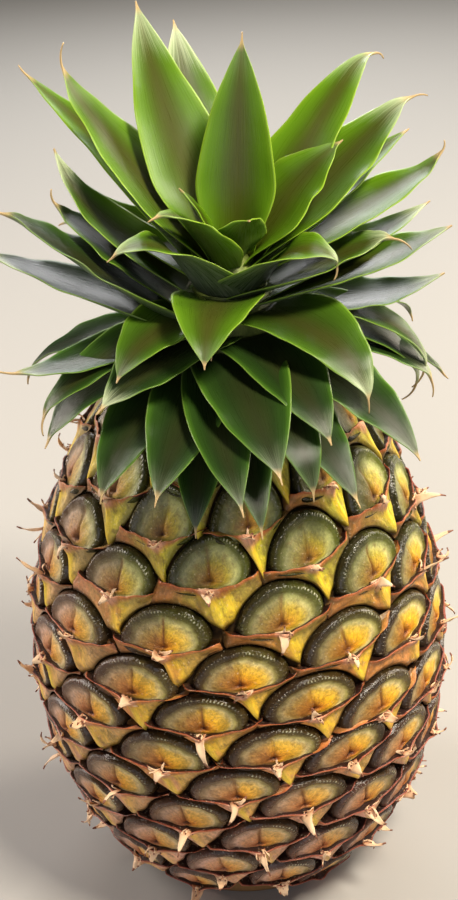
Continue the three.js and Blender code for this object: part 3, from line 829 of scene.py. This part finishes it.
def buildBracts(material):
    pieces = []
    rows, columns = bract["down"] + 1, bract["across"] + 1
    for name, band in zip(bandNames, bands):
        points, acrossMarks, downMarks, places, faces = [], [], [], [], []
        first = 0
        for order in band:
            top, underEdge, underWall, a, b, x, y, seed = bractShape(order)
            place = np.stack([x, y, np.full(x.shape, seed)], -1)
            # rows: the wall, the margin's underside, then the face down to the foot
            grid = np.vstack([underWall[None], underEdge[None], top])
            points.append(grid.reshape(-1, 3))
            acrossMarks.append(np.vstack([a[0], a[0], a]).ravel())
            downMarks.append(np.vstack([b[0] - 0.2, b[0] - 0.05, b]).ravel())
            places.append(np.concatenate([place[:1], place[:1], place]).reshape(-1, 3))
            faces += [face[::-1] for face in gridFaces(rows + 2, columns, first)]
            # the closing skirt: a sunk copy of both sides
            total = (rows + 2) * columns
            leftSide = [first + row * columns for row in range(rows + 2)]
            rightSide = [first + row * columns + columns - 1 for row in range(rows + 2)]
            deepX = np.concatenate([x[:, 0], x[:, -1]])
            deepY = np.concatenate([y[:, 0], y[:, -1]])
            deep = fruitletPoints(order, deepX, deepY, np.full(deepX.shape, bract["sunk"]))
            points.append(deep)
            acrossMarks.append(np.sign(np.arange(len(deep)) - rows + 0.5))
            downMarks.append(np.concatenate([b[:, 0], b[:, 0]]))
            places.append(np.concatenate([place[:, 0], place[:, -1]]))
            deepLeft = [first + total + row for row in range(rows)]
            deepRight = [first + total + rows + row for row in range(rows)]
            for row in range(rows - 1):
                upper, lower = leftSide[row + 2], leftSide[row + 3]
                faces.append((upper, lower, deepLeft[row + 1], deepLeft[row]))
                upper, lower = rightSide[row + 2], rightSide[row + 3]
                faces.append((lower, upper, deepRight[row], deepRight[row + 1]))
                faces.append((deepLeft[row], deepLeft[row + 1], deepRight[row + 1], deepRight[row]))
            faces.append((leftSide[0], leftSide[1], leftSide[2], deepLeft[0]))
            faces.append((rightSide[2], rightSide[1], rightSide[0], deepRight[0]))
            faces.append((*range(first, first + columns), deepRight[0], deepLeft[0]))
            foot = [first + (rows + 1) * columns + column for column in range(columns)]
            faces.append((*foot[::-1], deepLeft[-1], deepRight[-1]))
            first += total + 2 * rows
        marks = {"acrossBract": np.concatenate(acrossMarks),
                 "downBract": np.concatenate(downMarks), "place": np.vstack(places)}
        pieces.append(addPiece("fruit_bracts_" + name, np.vstack(points), faces, material,
                               marks))
    return pieces


def bractMaterial():
    material, tree, surface = newMaterial("bractSkin", Roughness=0.45)
    across = markOf(tree, "acrossBract")
    down = markOf(tree, "downBract")
    place = markOf(tree, "place", "Vector")
    level, toRight = levelOf(tree)
    fibrePlace = combined(tree, product(tree, across, 5.0), product(tree, down, 0.7),
                          separated(tree, place)[2])
    fibre = fibreOf(tree, fibrePlace, 3.0, 1.4)
    blotch = skinNoise(tree, bract["blotch"], 4.0, 0.65)
    share = sumOf(tree, "MULTIPLY_ADD", across, 0.5, sumOf(tree, "MULTIPLY_ADD", blotch, 0.5, 0.25))
    ripe = rampOf(tree, share, bract["ripe"])
    high = rampOf(tree, share, bract["high"])
    low = rampOf(tree, share, bract["low"])
    wander = sumOf(tree, "MULTIPLY_ADD", blotch, 0.3, level)
    colour = colourMix(tree, rangeOf(tree, wander, 0.72, 0.98), ripe, high)
    # pink colours near the foot, and towards the fruit's left side as a painted sheen of the lamps
    # on the left
    foot = rangeOf(tree, wander, 0.68, 0.3)
    left = rangeOf(tree, toRight, 0.35, 0.0, 0.0, 0.6)
    colour = colourMix(tree, sumOf(tree, "MAXIMUM", foot, left), colour, low)
    patch = rangeOf(tree, skinNoise(tree, bract["patch"], 4.0, 0.7), 0.48, 0.66, 0.0, 0.6)
    colour = tinted(tree, colour, patch, bract["patchColour"])
    keel = rangeOf(tree, sumOf(tree, "ABSOLUTE", across), 0.12, 0.02, 0.0, 0.9)
    broad = skinNoise(tree, bract["broad"], 1.0)
    keel = product(tree, keel, rangeOf(tree, broad, 0.4, 0.6, 0.3, 1.0),
                   rangeOf(tree, level, 0.1, 0.45, 0.35, 1.0))
    colour = tinted(tree, colour, keel, bract["keelColour"])
    # a pink knot under the dry tip, orange under the margin, a dark red line on it and dark
    # skin behind it, made darker as painted shade where the wall sinks under the lip
    apart = lengthOf(tree, stretched(tree, place, (1, 1.2, 0)))
    knot = rangeOf(tree, sumOf(tree, "MULTIPLY_ADD", blotch, 4.0, apart), 6.0, 3.2, 0.0, 0.85)
    reach = sumOf(tree, "MULTIPLY_ADD", sumOf(tree, "SUBTRACT", blotch, 0.5), 0.25, down)
    colour = tinted(tree, colour, rangeOf(tree, reach, 0.3, 0.05, 0.0, 0.85), bract["marginColour"])
    colour = tinted(tree, colour, knot, bract["knotColour"])
    colour = tinted(tree, colour, rangeOf(tree, down, 0.006, -0.004), bract["lineColour"])
    colour = tinted(tree, colour, rangeOf(tree, down, -0.012, -0.05), bract["backColour"])
    # painted shade: darker where it dips beside the eyes below and at the left horn
    horn = rangeOf(tree, sumOf(tree, "MULTIPLY_ADD", blotch, 0.3, across), -0.62, -0.85, 0.0, 0.85)
    colour = tinted(tree, colour, horn, bract["dipShadeColour"])
    dipShade = rangeOf(tree, down, 0.8, 1.0, 0.0, 0.7)
    colour = tinted(tree, colour, dipShade, bract["dipShadeColour"])
    shade = rangeOf(tree, fibre, 0.1, 0.9, 0.68, 1.3)
    colour = shadedBy(tree, colour, shade)
    grain = skinNoise(tree, bract["pore"], 2.0)
    flecks = rangeOf(tree, grain, 0.6, 0.76, 0.0, 0.4)
    colour = tinted(tree, colour, flecks, bract["fleckColour"])
    height = sumOf(tree, "MULTIPLY_ADD", fibre, 1.5, grain)
    finishSurface(tree, surface, colour, bumpOf(tree, height, 0.5, 0.0003),
                  rangeOf(tree, blotch, 0.3, 0.7, 0.32, 0.55))
    return material


bractPieces = buildBracts(bractMaterial())
print("fruit: bracts")

# The dry tips: torn papery shreds that curl out of the middles of the margins.
dryTip = {
    # length, width, heading aside and lean from the skin at the root, with their spreads
    "shreds": [
        ((5.2, 6.0), (3.4, 1.8), (0, 80), (70, 40)),
        ((2.0, 3.2), (1.3, 0.9), (62, 40), (30, 40)),
        ((2.0, 3.2), (1.3, 0.9), (-62, 40), (30, 40)),
        ((2.5, 4.5), (0.6, 0.4), (20, 150), (45, 70)),
        ((2.0, 3.5), (0.5, 0.3), (-30, 150), (35, 70)),
    ],
    "bend": 270,  # between the least and the most, in degrees
    "pointDown": 0.4,  # share of the shreds
    "rootApart": 0.25,
    "rootUp": -0.5,
    "rootLift": 0.6,
    "least": 0.1,  # half width
    "span": (7, 150),  # heights on the fruit between which they show
    "lowest": 0.4,  # above the table
    "thick": 0.25,
    "along": 10,
    "across": 4,
    "crumple": 0.16,
    "root": "a8663e",
    "paper": "ecc9a2",
    "tip": "84523a",
}


def shredShape(order, number, shred):
    (length, longer), (width, wider), (aside, spread), (rise, steeper) = shred
    seed = order + number * 0.217
    rows, columns = dryTip["along"] + 1, dryTip["across"] + 1
    root = [dryTip["rootApart"] * np.sign(aside), dryTip["rootUp"], dryTip["rootLift"]]
    start = fruitletPoints(order, *(np.array([value]) for value in root))[0]
    azimuth = math.radians(fruit["firstAzimuth"] + order * fruit["goldenAngle"])
    out, up = skinDirections(np.array([fruitletHeight(order)]))
    outward = np.array([out[0] * math.sin(azimuth), -out[0] * math.cos(azimuth), up[0]])
    side = np.array([math.cos(azimuth), math.sin(azimuth), 0.0])
    upward = np.cross(outward, side)
    length = length + longer * chance(seed + 0.5) ** 2
    width = width + wider * chance(seed + 0.6)
    heading = math.radians(aside + spread * (chance(seed + 0.75) - 0.5))
    lean = math.radians(rise + steeper * (chance(seed + 0.35) - 0.5))
    bend = math.radians(dryTip["bend"] * (chance(seed + 0.25) - 0.45))
    within = math.cos(heading) * upward * (1 if chance(seed + 0.11) > dryTip["pointDown"] else -1)
    within = within + math.sin(heading) * side
    sideways = np.cross(within, outward)
    sideways = sideways / np.linalg.norm(sideways)
    spot = start - outward * 0.3
    points = []
    for row in range(rows):
        u = row / dryTip["along"]
        turn = lean + bend * u**1.3
        forward = math.sin(turn) * outward + math.cos(turn) * within
        if row:
            spot = spot + forward * length / dryTip["along"]
        face = np.cross(sideways, forward)
        ragged = 0.8 + 0.2 * chance(seed * 3 + row)
        half = 0.5 * width * (1 - u ** (1.0 if number == 0 else 1.7)) * ragged + dryTip["least"]
        roll = between(0.3, 1.1, u)
        for column in range(columns):
            s = 2 * column / dryTip["across"] - 1
            curl = roll * s if s else 1e-6
            wave = dryTip["crumple"] * math.sin(seed * 9 + u * 11 + s * 2.4) * min(3 * u, 1)
            lift = half * s * (1 - math.cos(curl)) / curl + wave
            points.append(spot + sideways * half * s * math.sin(curl) / curl + face * lift)
    grid = np.array(points).reshape(rows, columns, 3)
    grid[..., 2] = np.maximum(grid[..., 2], dryTip["lowest"])
    normal = np.cross(np.gradient(grid, axis=0), np.gradient(grid, axis=1))
    normal /= np.linalg.norm(normal, axis=-1, keepdims=True) + 1e-9
    half = dryTip["thick"] / 2
    return grid + normal * half, grid - normal * half


def closedSheet(grid, first):
    # Faces of a thin closed sheet: the upper grid, the lower one like it and the edges between.
    rows, columns = grid.shape[:2]
    count = rows * columns
    faces = gridFaces(rows, columns, first)
    faces += [face[::-1] for face in gridFaces(rows, columns, first + count)]
    ring = list(range(columns))
    ring += [row * columns + columns - 1 for row in range(1, rows)]
    ring += [(rows - 1) * columns + column for column in range(columns - 2, -1, -1)]
    ring += [row * columns for row in range(rows - 2, 0, -1)]
    for here, there in zip(ring, ring[1:] + ring[:1]):
        faces.append((first + there, first + here, first + count + here, first + count + there))
    return faces, 2 * count


def buildDryTips():
    points, marks, faces = [], [], []
    first = 0
    rows, columns = dryTip["along"] + 1, dryTip["across"] + 1
    along = np.repeat(np.arange(rows) / dryTip["along"], columns)
    low, high = dryTip["span"]
    for order in eyeOrders:
        if not low <= fruitletHeight(order) <= high:
            continue
        for number, shred in enumerate(dryTip["shreds"]):
            upper, lower = shredShape(order, number, shred)
            made, count = closedSheet(upper, first)
            points += [upper.reshape(-1, 3), lower.reshape(-1, 3)]
            marks += [along, along]
            faces += made
            first += count
    material, tree, surface = newMaterial("dryTip", Roughness=0.6)
    grain = noiseOf(tree, stretched(tree, objectPlace(tree), (1, 1, 0.4)), 700.0)
    shifted = sumOf(tree, "MULTIPLY_ADD", grain, 0.3, markOf(tree, "along"))
    stops = [(0.15, "root"), (0.45, "paper"), (0.95, "paper"), (1.0, "tip")]
    colour = rampOf(tree, shifted, [(place, dryTip[name]) for place, name in stops])
    finishSurface(tree, surface, colour, bumpOf(tree, grain, 0.6, 0.0003))
    return addPiece("fruit_dry_tips", np.vstack(points), faces, material,
                    {"along": np.concatenate(marks)})


dryTips = buildDryTips()
for piece in [grooveSkin, *eyePieces, *bractPieces, dryTips]:
    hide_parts("fruit")
print("fruit: dry tips")

# The crown stem and its leaves, as in the solids.
stem = {
    "baseRadius": 26.0,
    "topRadius": 5.0,
    "firstLeaf": 173.0,
    "height": 29.0,
    "foot": 0.5,
    "lean": 4.0,
    "apex": 3.0,
    "clasp": 1.07,
    "gap": 0.3,
    "heartShare": 0.55,  # of the ring that the heart's leaves grow from
    "rows": 24,
    "sides": 64,
    "dark": "4c5c20",
    "pale": "8c9a4a",
}
blade = {
    "midrib": 1.1,
    "margin": 0.6,
    "tipShare": 0.6,
    "rootShare": 0.55,
    "rootEnd": 0.15,
    "curlRoot": 0.55,
    "curlTip": 0.3,
    "curlFrom": 0.1,
    "curlTo": 0.8,
    "taper": 2.3,
    "narrowest": 0.3,
    "bendPower": 2.5,
    "sweepPower": 1.3,
    "claspEnd": 0.36,
    "wrap": 1.45,
    "lowest": 2.6,  # over the fruit, in the lowest leaf, and how much more for each above it
    "layer": 0.4,
    "layers": 22,
    "hookFrom": 0.84,
    "hookShare": (0.35, 0.65),  # on the blade and on the thread
    "foldFrom": 0.86,
    "fold": 1.2,
    "thread": 0.18,  # half width of the thread's end
    "edge": 0.35,  # share of the thickness at the margin's corner
    "waves": ((0.35, 17), (0.2, 31)),  # height and count
    "along": 46,
    "across": 16,
    "spikeRows": 6,
    # colours from the middle of a blade to its margin
    "oldUpper": [(0.0, "1f2a14"), (0.45, "1f3112"), (0.8, "284214"), (0.95, "3e621a"),
                 (1.0, "74943a")],
    "youngUpper": [(0.0, "4a5612"), (0.4, "48640e"), (0.8, "588012"), (0.95, "6a9018"),
                   (1.0, "96b834")],
    "under": [(0.0, "46543c"), (0.6, "485c30"), (0.92, "4a6824"), (1.0, "88a83a")],
    "youngUnder": [(0.0, "586c1e"), (0.6, "5a7a18"), (0.92, "6c941e"), (1.0, "a8cc3e")],
    "blotch": 60.0,
    "purple": "3e3a18",
    "scales": "b9c2a8",
    "shade": "37492e",
    # pale tip colour: silver scales and a painted highlight
    "sheenAndSilver": "d6e2b8",
    "dryThread": "c4a878",
}
# azimuth, lean at the root and at the tip, length, width, sweep
collar = [
    (350, -25, -65, 40, 18, 0), (110, -15, -60, 42, 20, 0), (5, -15, -55, 46, 18, 5),
    (225, -15, -60, 42, 20, 0), (30, -20, -50, 44, 20, 5), (160, -15, -60, 44, 20, 0),
    (325, -15, -55, 42, 24, 0), (20, -5, -75, 44, 20, 0), (195, -10, -60, 44, 22, 0),
    (95, -10, -60, 46, 22, 0), (345, -10, -40, 46, 26, -10), (130, -10, -60, 46, 22, 0),
    (255, -10, -60, 46, 22, 0), (355, -10, -25, 54, 22, 20), (300, -10, -60, 42, 22, 0),
    (50, -15, -45, 50, 26, -5), (175, -5, -50, 50, 22, 0), (120, -5, -50, 50, 22, 0),
    (5, -5, -35, 50, 28, 15), (215, 0, -45, 52, 24, 0), (78, -10, -50, 44, 26, 0),
]
skirt = [
    (295, -5, 10, 46, 22, 0), (145, 0, -45, 54, 24, 0), (280, 30, 30, 55, 30, 0),
    (24, -8, -45, 43, 26, 5), (325, -5, -20, 38, 28, -15), (80, -10, -80, 47, 18, 0),
    (282, 40, 45, 57, 38, 0), (300, -10, -40, 48, 22, 0), (130, 10, -30, 56, 24, 0),
    (85, 0, 35, 46, 28, 0), (225, 15, -10, 56, 24, 0), (260, 40, 35, 44, 30, 0),
    (80, -5, -80, 51, 18, 0), (43, 0, -72, 44, 30, 0), (320, 5, -45, 36, 26, 0),
    (160, 20, 0, 58, 24, 0),
]
rosette = [
    (85, 15, 35, 52, 34, 0), (105, 15, 30, 50, 24, 0), (255, 35, 75, 54, 26, 0),
    (350, 5, -40, 24, 20, 0), (350, 20, -60, 38, 28, 0), (75, 25, 25, 38, 38, 10),
    (320, 60, -35, 38, 28, -40), (40, 55, -60, 34, 30, 50), (200, 35, 20, 60, 24, 0),
    (235, 20, 30, 45, 22, 0), (195, 55, 60, 70, 30, 0), (230, 40, 25, 78, 20, 5),
    (105, 22, 25, 61, 34, 0), (120, 30, 25, 58, 24, -5), (134, 48, 28, 73, 28, 0),
    (245, 50, 50, 67, 32, 0), (118, 35, 36, 65, 38, 0), (213, 55, 75, 73, 31, 0),
    (163, 80, 65, 58, 26, 0), (115, 50, 24, 40, 39, 0),
]
leaves = collar + skirt + rosette
# share up the stem, then the leaf
heart = [(0.89, (320, 65, 0, 34, 22, -20)), (0.95, (270, 75, 45, 24, 12, 0)),
         (0.98, (20, 70, 15, 22, 20, -5))]


def outwardAt(angle):
    return np.stack([np.sin(angle), -np.cos(angle), np.zeros_like(angle)], -1)


def acrossAt(angle):
    return np.stack([np.cos(angle), np.sin(angle), np.zeros_like(angle)], -1)


def stemAt(rank):
    radius = between(stem["baseRadius"], stem["topRadius"], rank)
    return radius, stem["firstLeaf"] + stem["height"] * rank, stem["lean"] * rank


def draped(points, clearance):
    # Pushes what would sink into the fruit out of it, along the skin's normal.
    flat = points.reshape(-1, 3).copy()
    radius = np.hypot(flat[:, 0], flat[:, 1])
    near = (flat[:, 2] < fruit["height"] + clearance) & (radius > 1)
    if near.any():
        r, z = radius[near], flat[near, 2]
        distance = (profileRadius[None] - r[:, None]) ** 2 + (profileHeight[None] - z[:, None]) ** 2
        nearest = distance.argmin(1)
        onShoulder = profileHeight[nearest] > fruit["height"] - 0.01
        out, up = skinDirections(profileHeight[nearest])
        out = np.where(onShoulder, 0.0, out)
        up = np.where(onShoulder, 1.0, up)
        depth = (r - profileRadius[nearest]) * out + (z - profileHeight[nearest]) * up
        push = np.maximum(clearance - depth, 0)
        scale = (r + push * out) / r
        flat[near, 0] *= scale
        flat[near, 1] *= scale
        flat[near, 2] += push * up
    return flat.reshape(points.shape)


def leafShape(leaf, ring, layer, seed, tip):
    azimuth, rootLean, tipLean, length, width, sweep = leaf
    hook, dry, spike = tip
    radius, height, shift = ring
    along, across, extra = blade["along"], blade["across"], blade["spikeRows"]
    # past the tip the rows go on as a dry thread
    u = np.concatenate([np.linspace(0, 1, along + 1), np.ones(extra)])
    past = np.concatenate([np.zeros(along + 1), np.arange(1, extra + 1) / extra])
    step = np.concatenate([np.full(along, length / along), np.full(extra, spike / extra)])
    onBlade, onThread = blade["hookShare"]
    hooked = hook * (onBlade * smoothStep(u, blade["hookFrom"], 1.0) + onThread * past)
    lean = np.radians(between(rootLean, tipLean, u ** blade["bendPower"]) + hooked)
    heading = np.radians(azimuth + sweep * u ** blade["sweepPower"])
    forward = outwardAt(heading) * np.cos(lean)[:, None]
    forward[:, 2] = np.sin(lean)
    start = outwardAt(np.array(math.radians(azimuth))) * radius
    start = start + np.array([shift, 0, height])
    middle = np.vstack([start[None], start + np.cumsum(forward[1:] * step[:, None], 0)])
    side = acrossAt(heading)
    above = np.cross(forward, side)
    least = between(blade["narrowest"], blade["thread"], past)
    half = np.maximum(0.5 * width * (1 - u ** blade["taper"]), least)
    s = np.linspace(-1, 1, across + 1)
    s = np.sign(s) * (1 - (1 - np.abs(s)) ** 1.25)
    opened = smoothStep(u, blade["curlFrom"], blade["curlTo"])
    curl = between(blade["curlRoot"], blade["curlTip"], opened)
    curl = curl + blade["fold"] * smoothStep(u, blade["foldFrom"], 1.0) * dry
    turn = curl[:, None] * s[None]
    safe = np.where(np.abs(turn) < 1e-6, 1.0, turn)
    flat = half[:, None] * s[None]
    offset = np.where(np.abs(turn) < 1e-6, flat, flat * np.sin(turn) / safe)
    lift = np.where(np.abs(turn) < 1e-6, 0.0, flat * (1 - np.cos(turn)) / safe)
    (slow, slowCount), (quick, quickCount) = blade["waves"]
    wave = slow * np.sin(u[:, None] * slowCount + seed * 9 + s[None] * 1.2) * s[None] ** 2
    wave = wave + quick * np.sin(u[:, None] * quickCount + seed * 5) * s[None] ** 3
    lift = lift + wave * smoothStep(u, 0.3, 0.6)[:, None] * (half / 10)[:, None]
    channel = middle[:, None] + side[:, None] * offset[..., None] + above[:, None] * lift[..., None]
    # the root wraps round the stem
    wrapped = np.clip(flat / radius, -blade["wrap"], blade["wrap"])
    claspSpot = outwardAt(heading[:, None] + wrapped) - outwardAt(heading)[:, None]
    clasp = claspSpot * radius + middle[:, None]
    grid = between(clasp, channel, smoothStep(u, 0, blade["claspEnd"])[:, None, None])
    clearance = blade["lowest"] + blade["layer"] * min(layer, blade["layers"])
    grid = draped(grid, clearance)
    root = between(blade["rootShare"], 1, smoothStep(u, 0, blade["rootEnd"]))
    slim = between(1, blade["tipShare"], u) * root * between(1, 0.5, past)
    thick = slim[:, None] * between(blade["midrib"], blade["margin"], np.abs(s)[None])
    thick = thick * np.where(np.abs(s) > 0.999, blade["edge"], 1.0)[None] * 0.5
    upper = grid + above[:, None] * thick[..., None]
    lower = grid - above[:, None] * thick[..., None]
    uu, ss = np.broadcast_arrays((u + 0.05 * past)[:, None], s[None])
    return upper, lower, uu, ss


# Where a leaf's tip differs: its hook in degrees, how folded and dry it is, and the length
# of its dry thread.
tipHabit = {
    16: (-10, 0.4, 1), 21: (-50, 0.8, 5), 22: (20, 1.0, 6), 24: (-20, 0.5, 2), 25: (-10, 0.3, 1),
    26: (-10, 0.5, 2), 27: (-70, 0.7, 6), 28: (-40, 0.9, 3), 29: (-60, 0.9, 5), 31: (-10, 0.2, 0.5),
    33: (70, 1.0, 4), 34: (-60, 0.8, 6), 35: (-20, 0.8, 4), 36: (0, 0.2, 1), 38: (-10, 0.2, 0.5),
    39: (0, 0.3, 1), 40: (10, 0.1, 0.5), 42: (0, 0.3, 1), 43: (-80, 1.0, 6), 44: (0, 0.5, 2),
    45: (-60, 0.7, 4), 48: (0, 0.3, 1), 49: (30, 0.8, 3), 50: (80, 0.7, 3), 51: (0, 0.2, 1),
    52: (-90, 0.9, 4), 53: (70, 0.6, 7), 54: (-60, 1.0, 5), 55: (0, 0.3, 1), 56: (20, 0.6, 2),
    57: (10, 0.5, 1), 60: (-20, 0.9, 2), 61: (10, 0.5, 1), 62: (0, 0.2, 0.5),
}
# Any other leaf's tip, with the spreads of its hook and dryness.
usualTip = {"hook": -42, "hookSpread": 60, "dry": 0.3, "drySpread": 0.5, "thread": 2.0,
            "sheenAndSilver": 0.15}
# How pale a leaf's tip is where it differs, from 0 to 1: silver scales and a painted highlight.
tipSheenAndSilver = {
    21: 0.6, 22: 0.6, 24: 0.8, 26: 0.8, 27: 0.8, 31: 0.6, 34: 0.8, 35: 0.7, 37: 0.7, 38: 0.6,
    39: 0.9, 40: 1.0, 43: 0.8, 44: 0.7, 45: 0.6, 46: 0.7, 48: 1.0, 52: 0.5, 54: 0.9, 55: 0.7,
    60: 0.4, 62: 0.0,
}


def leafPiece(name, leaf, ring, layer, age, material, order):
    seed = float(chance(order * 0.71 + 0.3))
    usual = (usualTip["hook"] + usualTip["hookSpread"] * chance(order + 0.2),
             usualTip["dry"] + usualTip["drySpread"] * chance(order + 0.9), usualTip["thread"])
    tip = tipHabit.get(order, usual)
    upper, lower, u, s = leafShape(leaf, ring, layer, seed, tip)
    faces, _ = closedSheet(upper, 0)
    single = {"age": age, "own": seed, "dry": float(tip[1]),
              "sheenAndSilver": tipSheenAndSilver.get(order, usualTip["sheenAndSilver"])}
    marks = {mark: np.full(2 * u.size, value) for mark, value in single.items()}
    marks["alongLeaf"] = np.tile(u.ravel(), 2)
    marks["acrossLeaf"] = np.tile(s.ravel(), 2)
    marks["under"] = np.repeat([0.0, 1.0], u.size)
    return addPiece(name, np.vstack([upper.reshape(-1, 3), lower.reshape(-1, 3)]), faces,
                    material, marks)


def leafMaterial():
    material, tree, surface = newMaterial("leafSkin", IOR=1.4, Specular_IOR_Level=0.34)
    along, across, under, age, own, dry, sheenAndSilverShare = (
        markOf(tree, name)
        for name in ("alongLeaf", "acrossLeaf", "under", "age", "own", "dry", "sheenAndSilver"))
    size = sumOf(tree, "ABSOLUTE", across)
    veinPlace = combined(tree, product(tree, across, 7.0), product(tree, along, 0.8),
                         product(tree, own, 30.0))
    veins = fibreOf(tree, veinPlace, 5.0, 1.2)
    aged = rangeOf(tree, age, 1.0, 0.7, 0.3, 1.0)
    blotch = skinNoise(tree, blade["blotch"], 3.0)
    upperDark = rampOf(tree, size, blade["oldUpper"])
    upperBright = rampOf(tree, size, blade["youngUpper"])
    young = rangeOf(tree, age, 0.42, 0.88)
    upperColour = colourMix(tree, young, upperDark, upperBright)
    purple = rangeOf(tree, sumOf(tree, "MULTIPLY_ADD", blotch, 0.5, size), 0.85, 0.3, 0.0, 0.5)
    purple = product(tree, purple, rangeOf(tree, along, 0.05, 0.45, 0.2, 1.0),
                     rangeOf(tree, along, 0.97, 0.7), rangeOf(tree, age, 0.3, 0.7, 0.35, 1.0))
    upperColour = tinted(tree, upperColour, purple, blade["purple"])
    underColour = colourMix(tree, rangeOf(tree, age, 0.75, 1.0), rampOf(tree, size, blade["under"]),
                            rampOf(tree, size, blade["youngUnder"]))
    scale = rangeOf(tree, veins, 0.35, 0.8)
    underColour = tinted(tree, underColour, product(tree, scale, aged, 0.5), blade["scales"])
    shaded = rangeOf(tree, age, 0.6, 0.1, 0.0, 0.55)
    underColour = tinted(tree, underColour, shaded, blade["shade"])
    colour = colourMix(tree, under, upperColour, underColour)
    # pale towards the tip, more on some leaves: silver scales and a painted highlight of the lamps'
    # glint
    sheenAndSilver = sumOf(tree, "MULTIPLY_ADD", veins, 0.35, along)
    sheenAndSilver = sumOf(tree, "MULTIPLY_ADD", size, 0.08, sheenAndSilver)
    sheenAndSilver = product(tree, rangeOf(tree, sheenAndSilver, 0.98, 1.26), sheenAndSilverShare)
    colour = tinted(tree, colour, sheenAndSilver, blade["sheenAndSilver"])
    shade = rangeOf(tree, veins, 0.1, 0.9, 0.88, 1.1)
    colour = shadedBy(tree, colour, shade)
    wander = sumOf(tree, "MULTIPLY_ADD", blotch, 0.06, along)
    wither = rangeOf(tree, wander, sumOf(tree, "MULTIPLY_ADD", dry, -0.05, 1.0), 1.03)
    colour = tinted(tree, colour, wither, blade["dryThread"])
    finishSurface(tree, surface, colour, bumpOf(tree, veins, 0.22, 0.0003),
                  sumOf(tree, "MULTIPLY_ADD", veins, 0.14, 0.22))
    return material


def buildCrown():
    material = leafMaterial()
    for order, leaf in enumerate(leaves):
        node = f"leaf_{order + 1:02d}"
        age = order / len(leaves)
        piece = leafPiece(node + "_blade", leaf, stemAt(age), order, age, material, order + 1)
        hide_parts(node)
    pieces = []
    for number, (rank, leaf) in enumerate(heart):
        radius, height, shift = stemAt(rank)
        ring = (radius * stem["heartShare"], height, shift)
        pieces.append(leafPiece(f"heart_leaf_{number + 1}", leaf, ring, blade["layers"], 1.0,
                                material, 60 + number))
    return pieces


def buildStem():
    radius, height, shift = stemAt(np.linspace(1, 0, stem["rows"]))
    radius = radius / stem["clasp"] - stem["gap"]
    foot = (stem["baseRadius"] / stem["clasp"], fruit["height"] + stem["foot"], 0.0)
    topRadius = radius[0]
    rows = [(topRadius / 3, height[0] + stem["apex"], stem["lean"]),
            (topRadius * 0.75, height[0] + stem["apex"] * 0.75, stem["lean"]),
            *zip(radius, height, shift), foot]
    sides = stem["sides"]
    turns = np.linspace(0, 2 * math.pi, sides, endpoint=False)
    points = []
    for r, z, x in rows:
        points.append(np.stack([x + r * np.cos(turns), r * np.sin(turns), np.full(sides, z)], -1))
    flat = np.vstack(points)
    ends = np.array([[stem["lean"], 0, rows[0][1]], [0, 0, rows[-1][1]]])
    faces = [face[::-1] for face in gridFaces(len(rows), sides, closed=True)]
    last = (len(rows) - 1) * sides
    for column in range(sides):
        right = (column + 1) % sides
        faces.append((len(flat), column, right))
        faces.append((len(flat) + 1, last + right, last + column))
    material, tree, surface = newMaterial("stemSkin", Roughness=0.5)
    fibre = fibreOf(tree, stretched(tree, objectPlace(tree), (1, 1, 0.15)), 600.0, 1.4)
    colour = rampOf(tree, fibre, [(0.2, stem["dark"]), (0.8, stem["pale"])])
    finishSurface(tree, surface, colour, bumpOf(tree, fibre, 0.4, 0.0004))
    return addPiece("crown_stem_core", np.vstack([flat, ends]), faces, material, {})


for piece in [buildStem(), *buildCrown()]:
    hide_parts("crown_stem")
print("crown: stem and", len(leaves) + len(heart), "leaves")

# The cut end of the stalk keeps its solid.
stalk = {"pith": "c7a46c", "bark": "7a5a34", "grain": 900.0, "reach": 70.0}  # shares a metre


def dressStalk():
    material, tree, surface = newMaterial("stalkCut", Roughness=0.8)
    place = objectPlace(tree)
    parts = separated(tree, place)
    flat = combined(tree, parts[0], parts[1], 0.0)
    reach = lengthOf(tree, flat)
    grain = noiseOf(tree, place, stalk["grain"], 4.0)
    share = sumOf(tree, "MULTIPLY_ADD", grain, 0.3, product(tree, reach, stalk["reach"]))
    colour = rampOf(tree, share, [(0.3, stalk["pith"]), (1.0, stalk["bark"])])
    finishSurface(tree, surface, colour, bumpOf(tree, grain, 0.7, 0.0005))
    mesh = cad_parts["stalk_end"].data
    mesh.materials.clear()
    mesh.materials.append(material)


dressStalk()
print("base: stalk end")
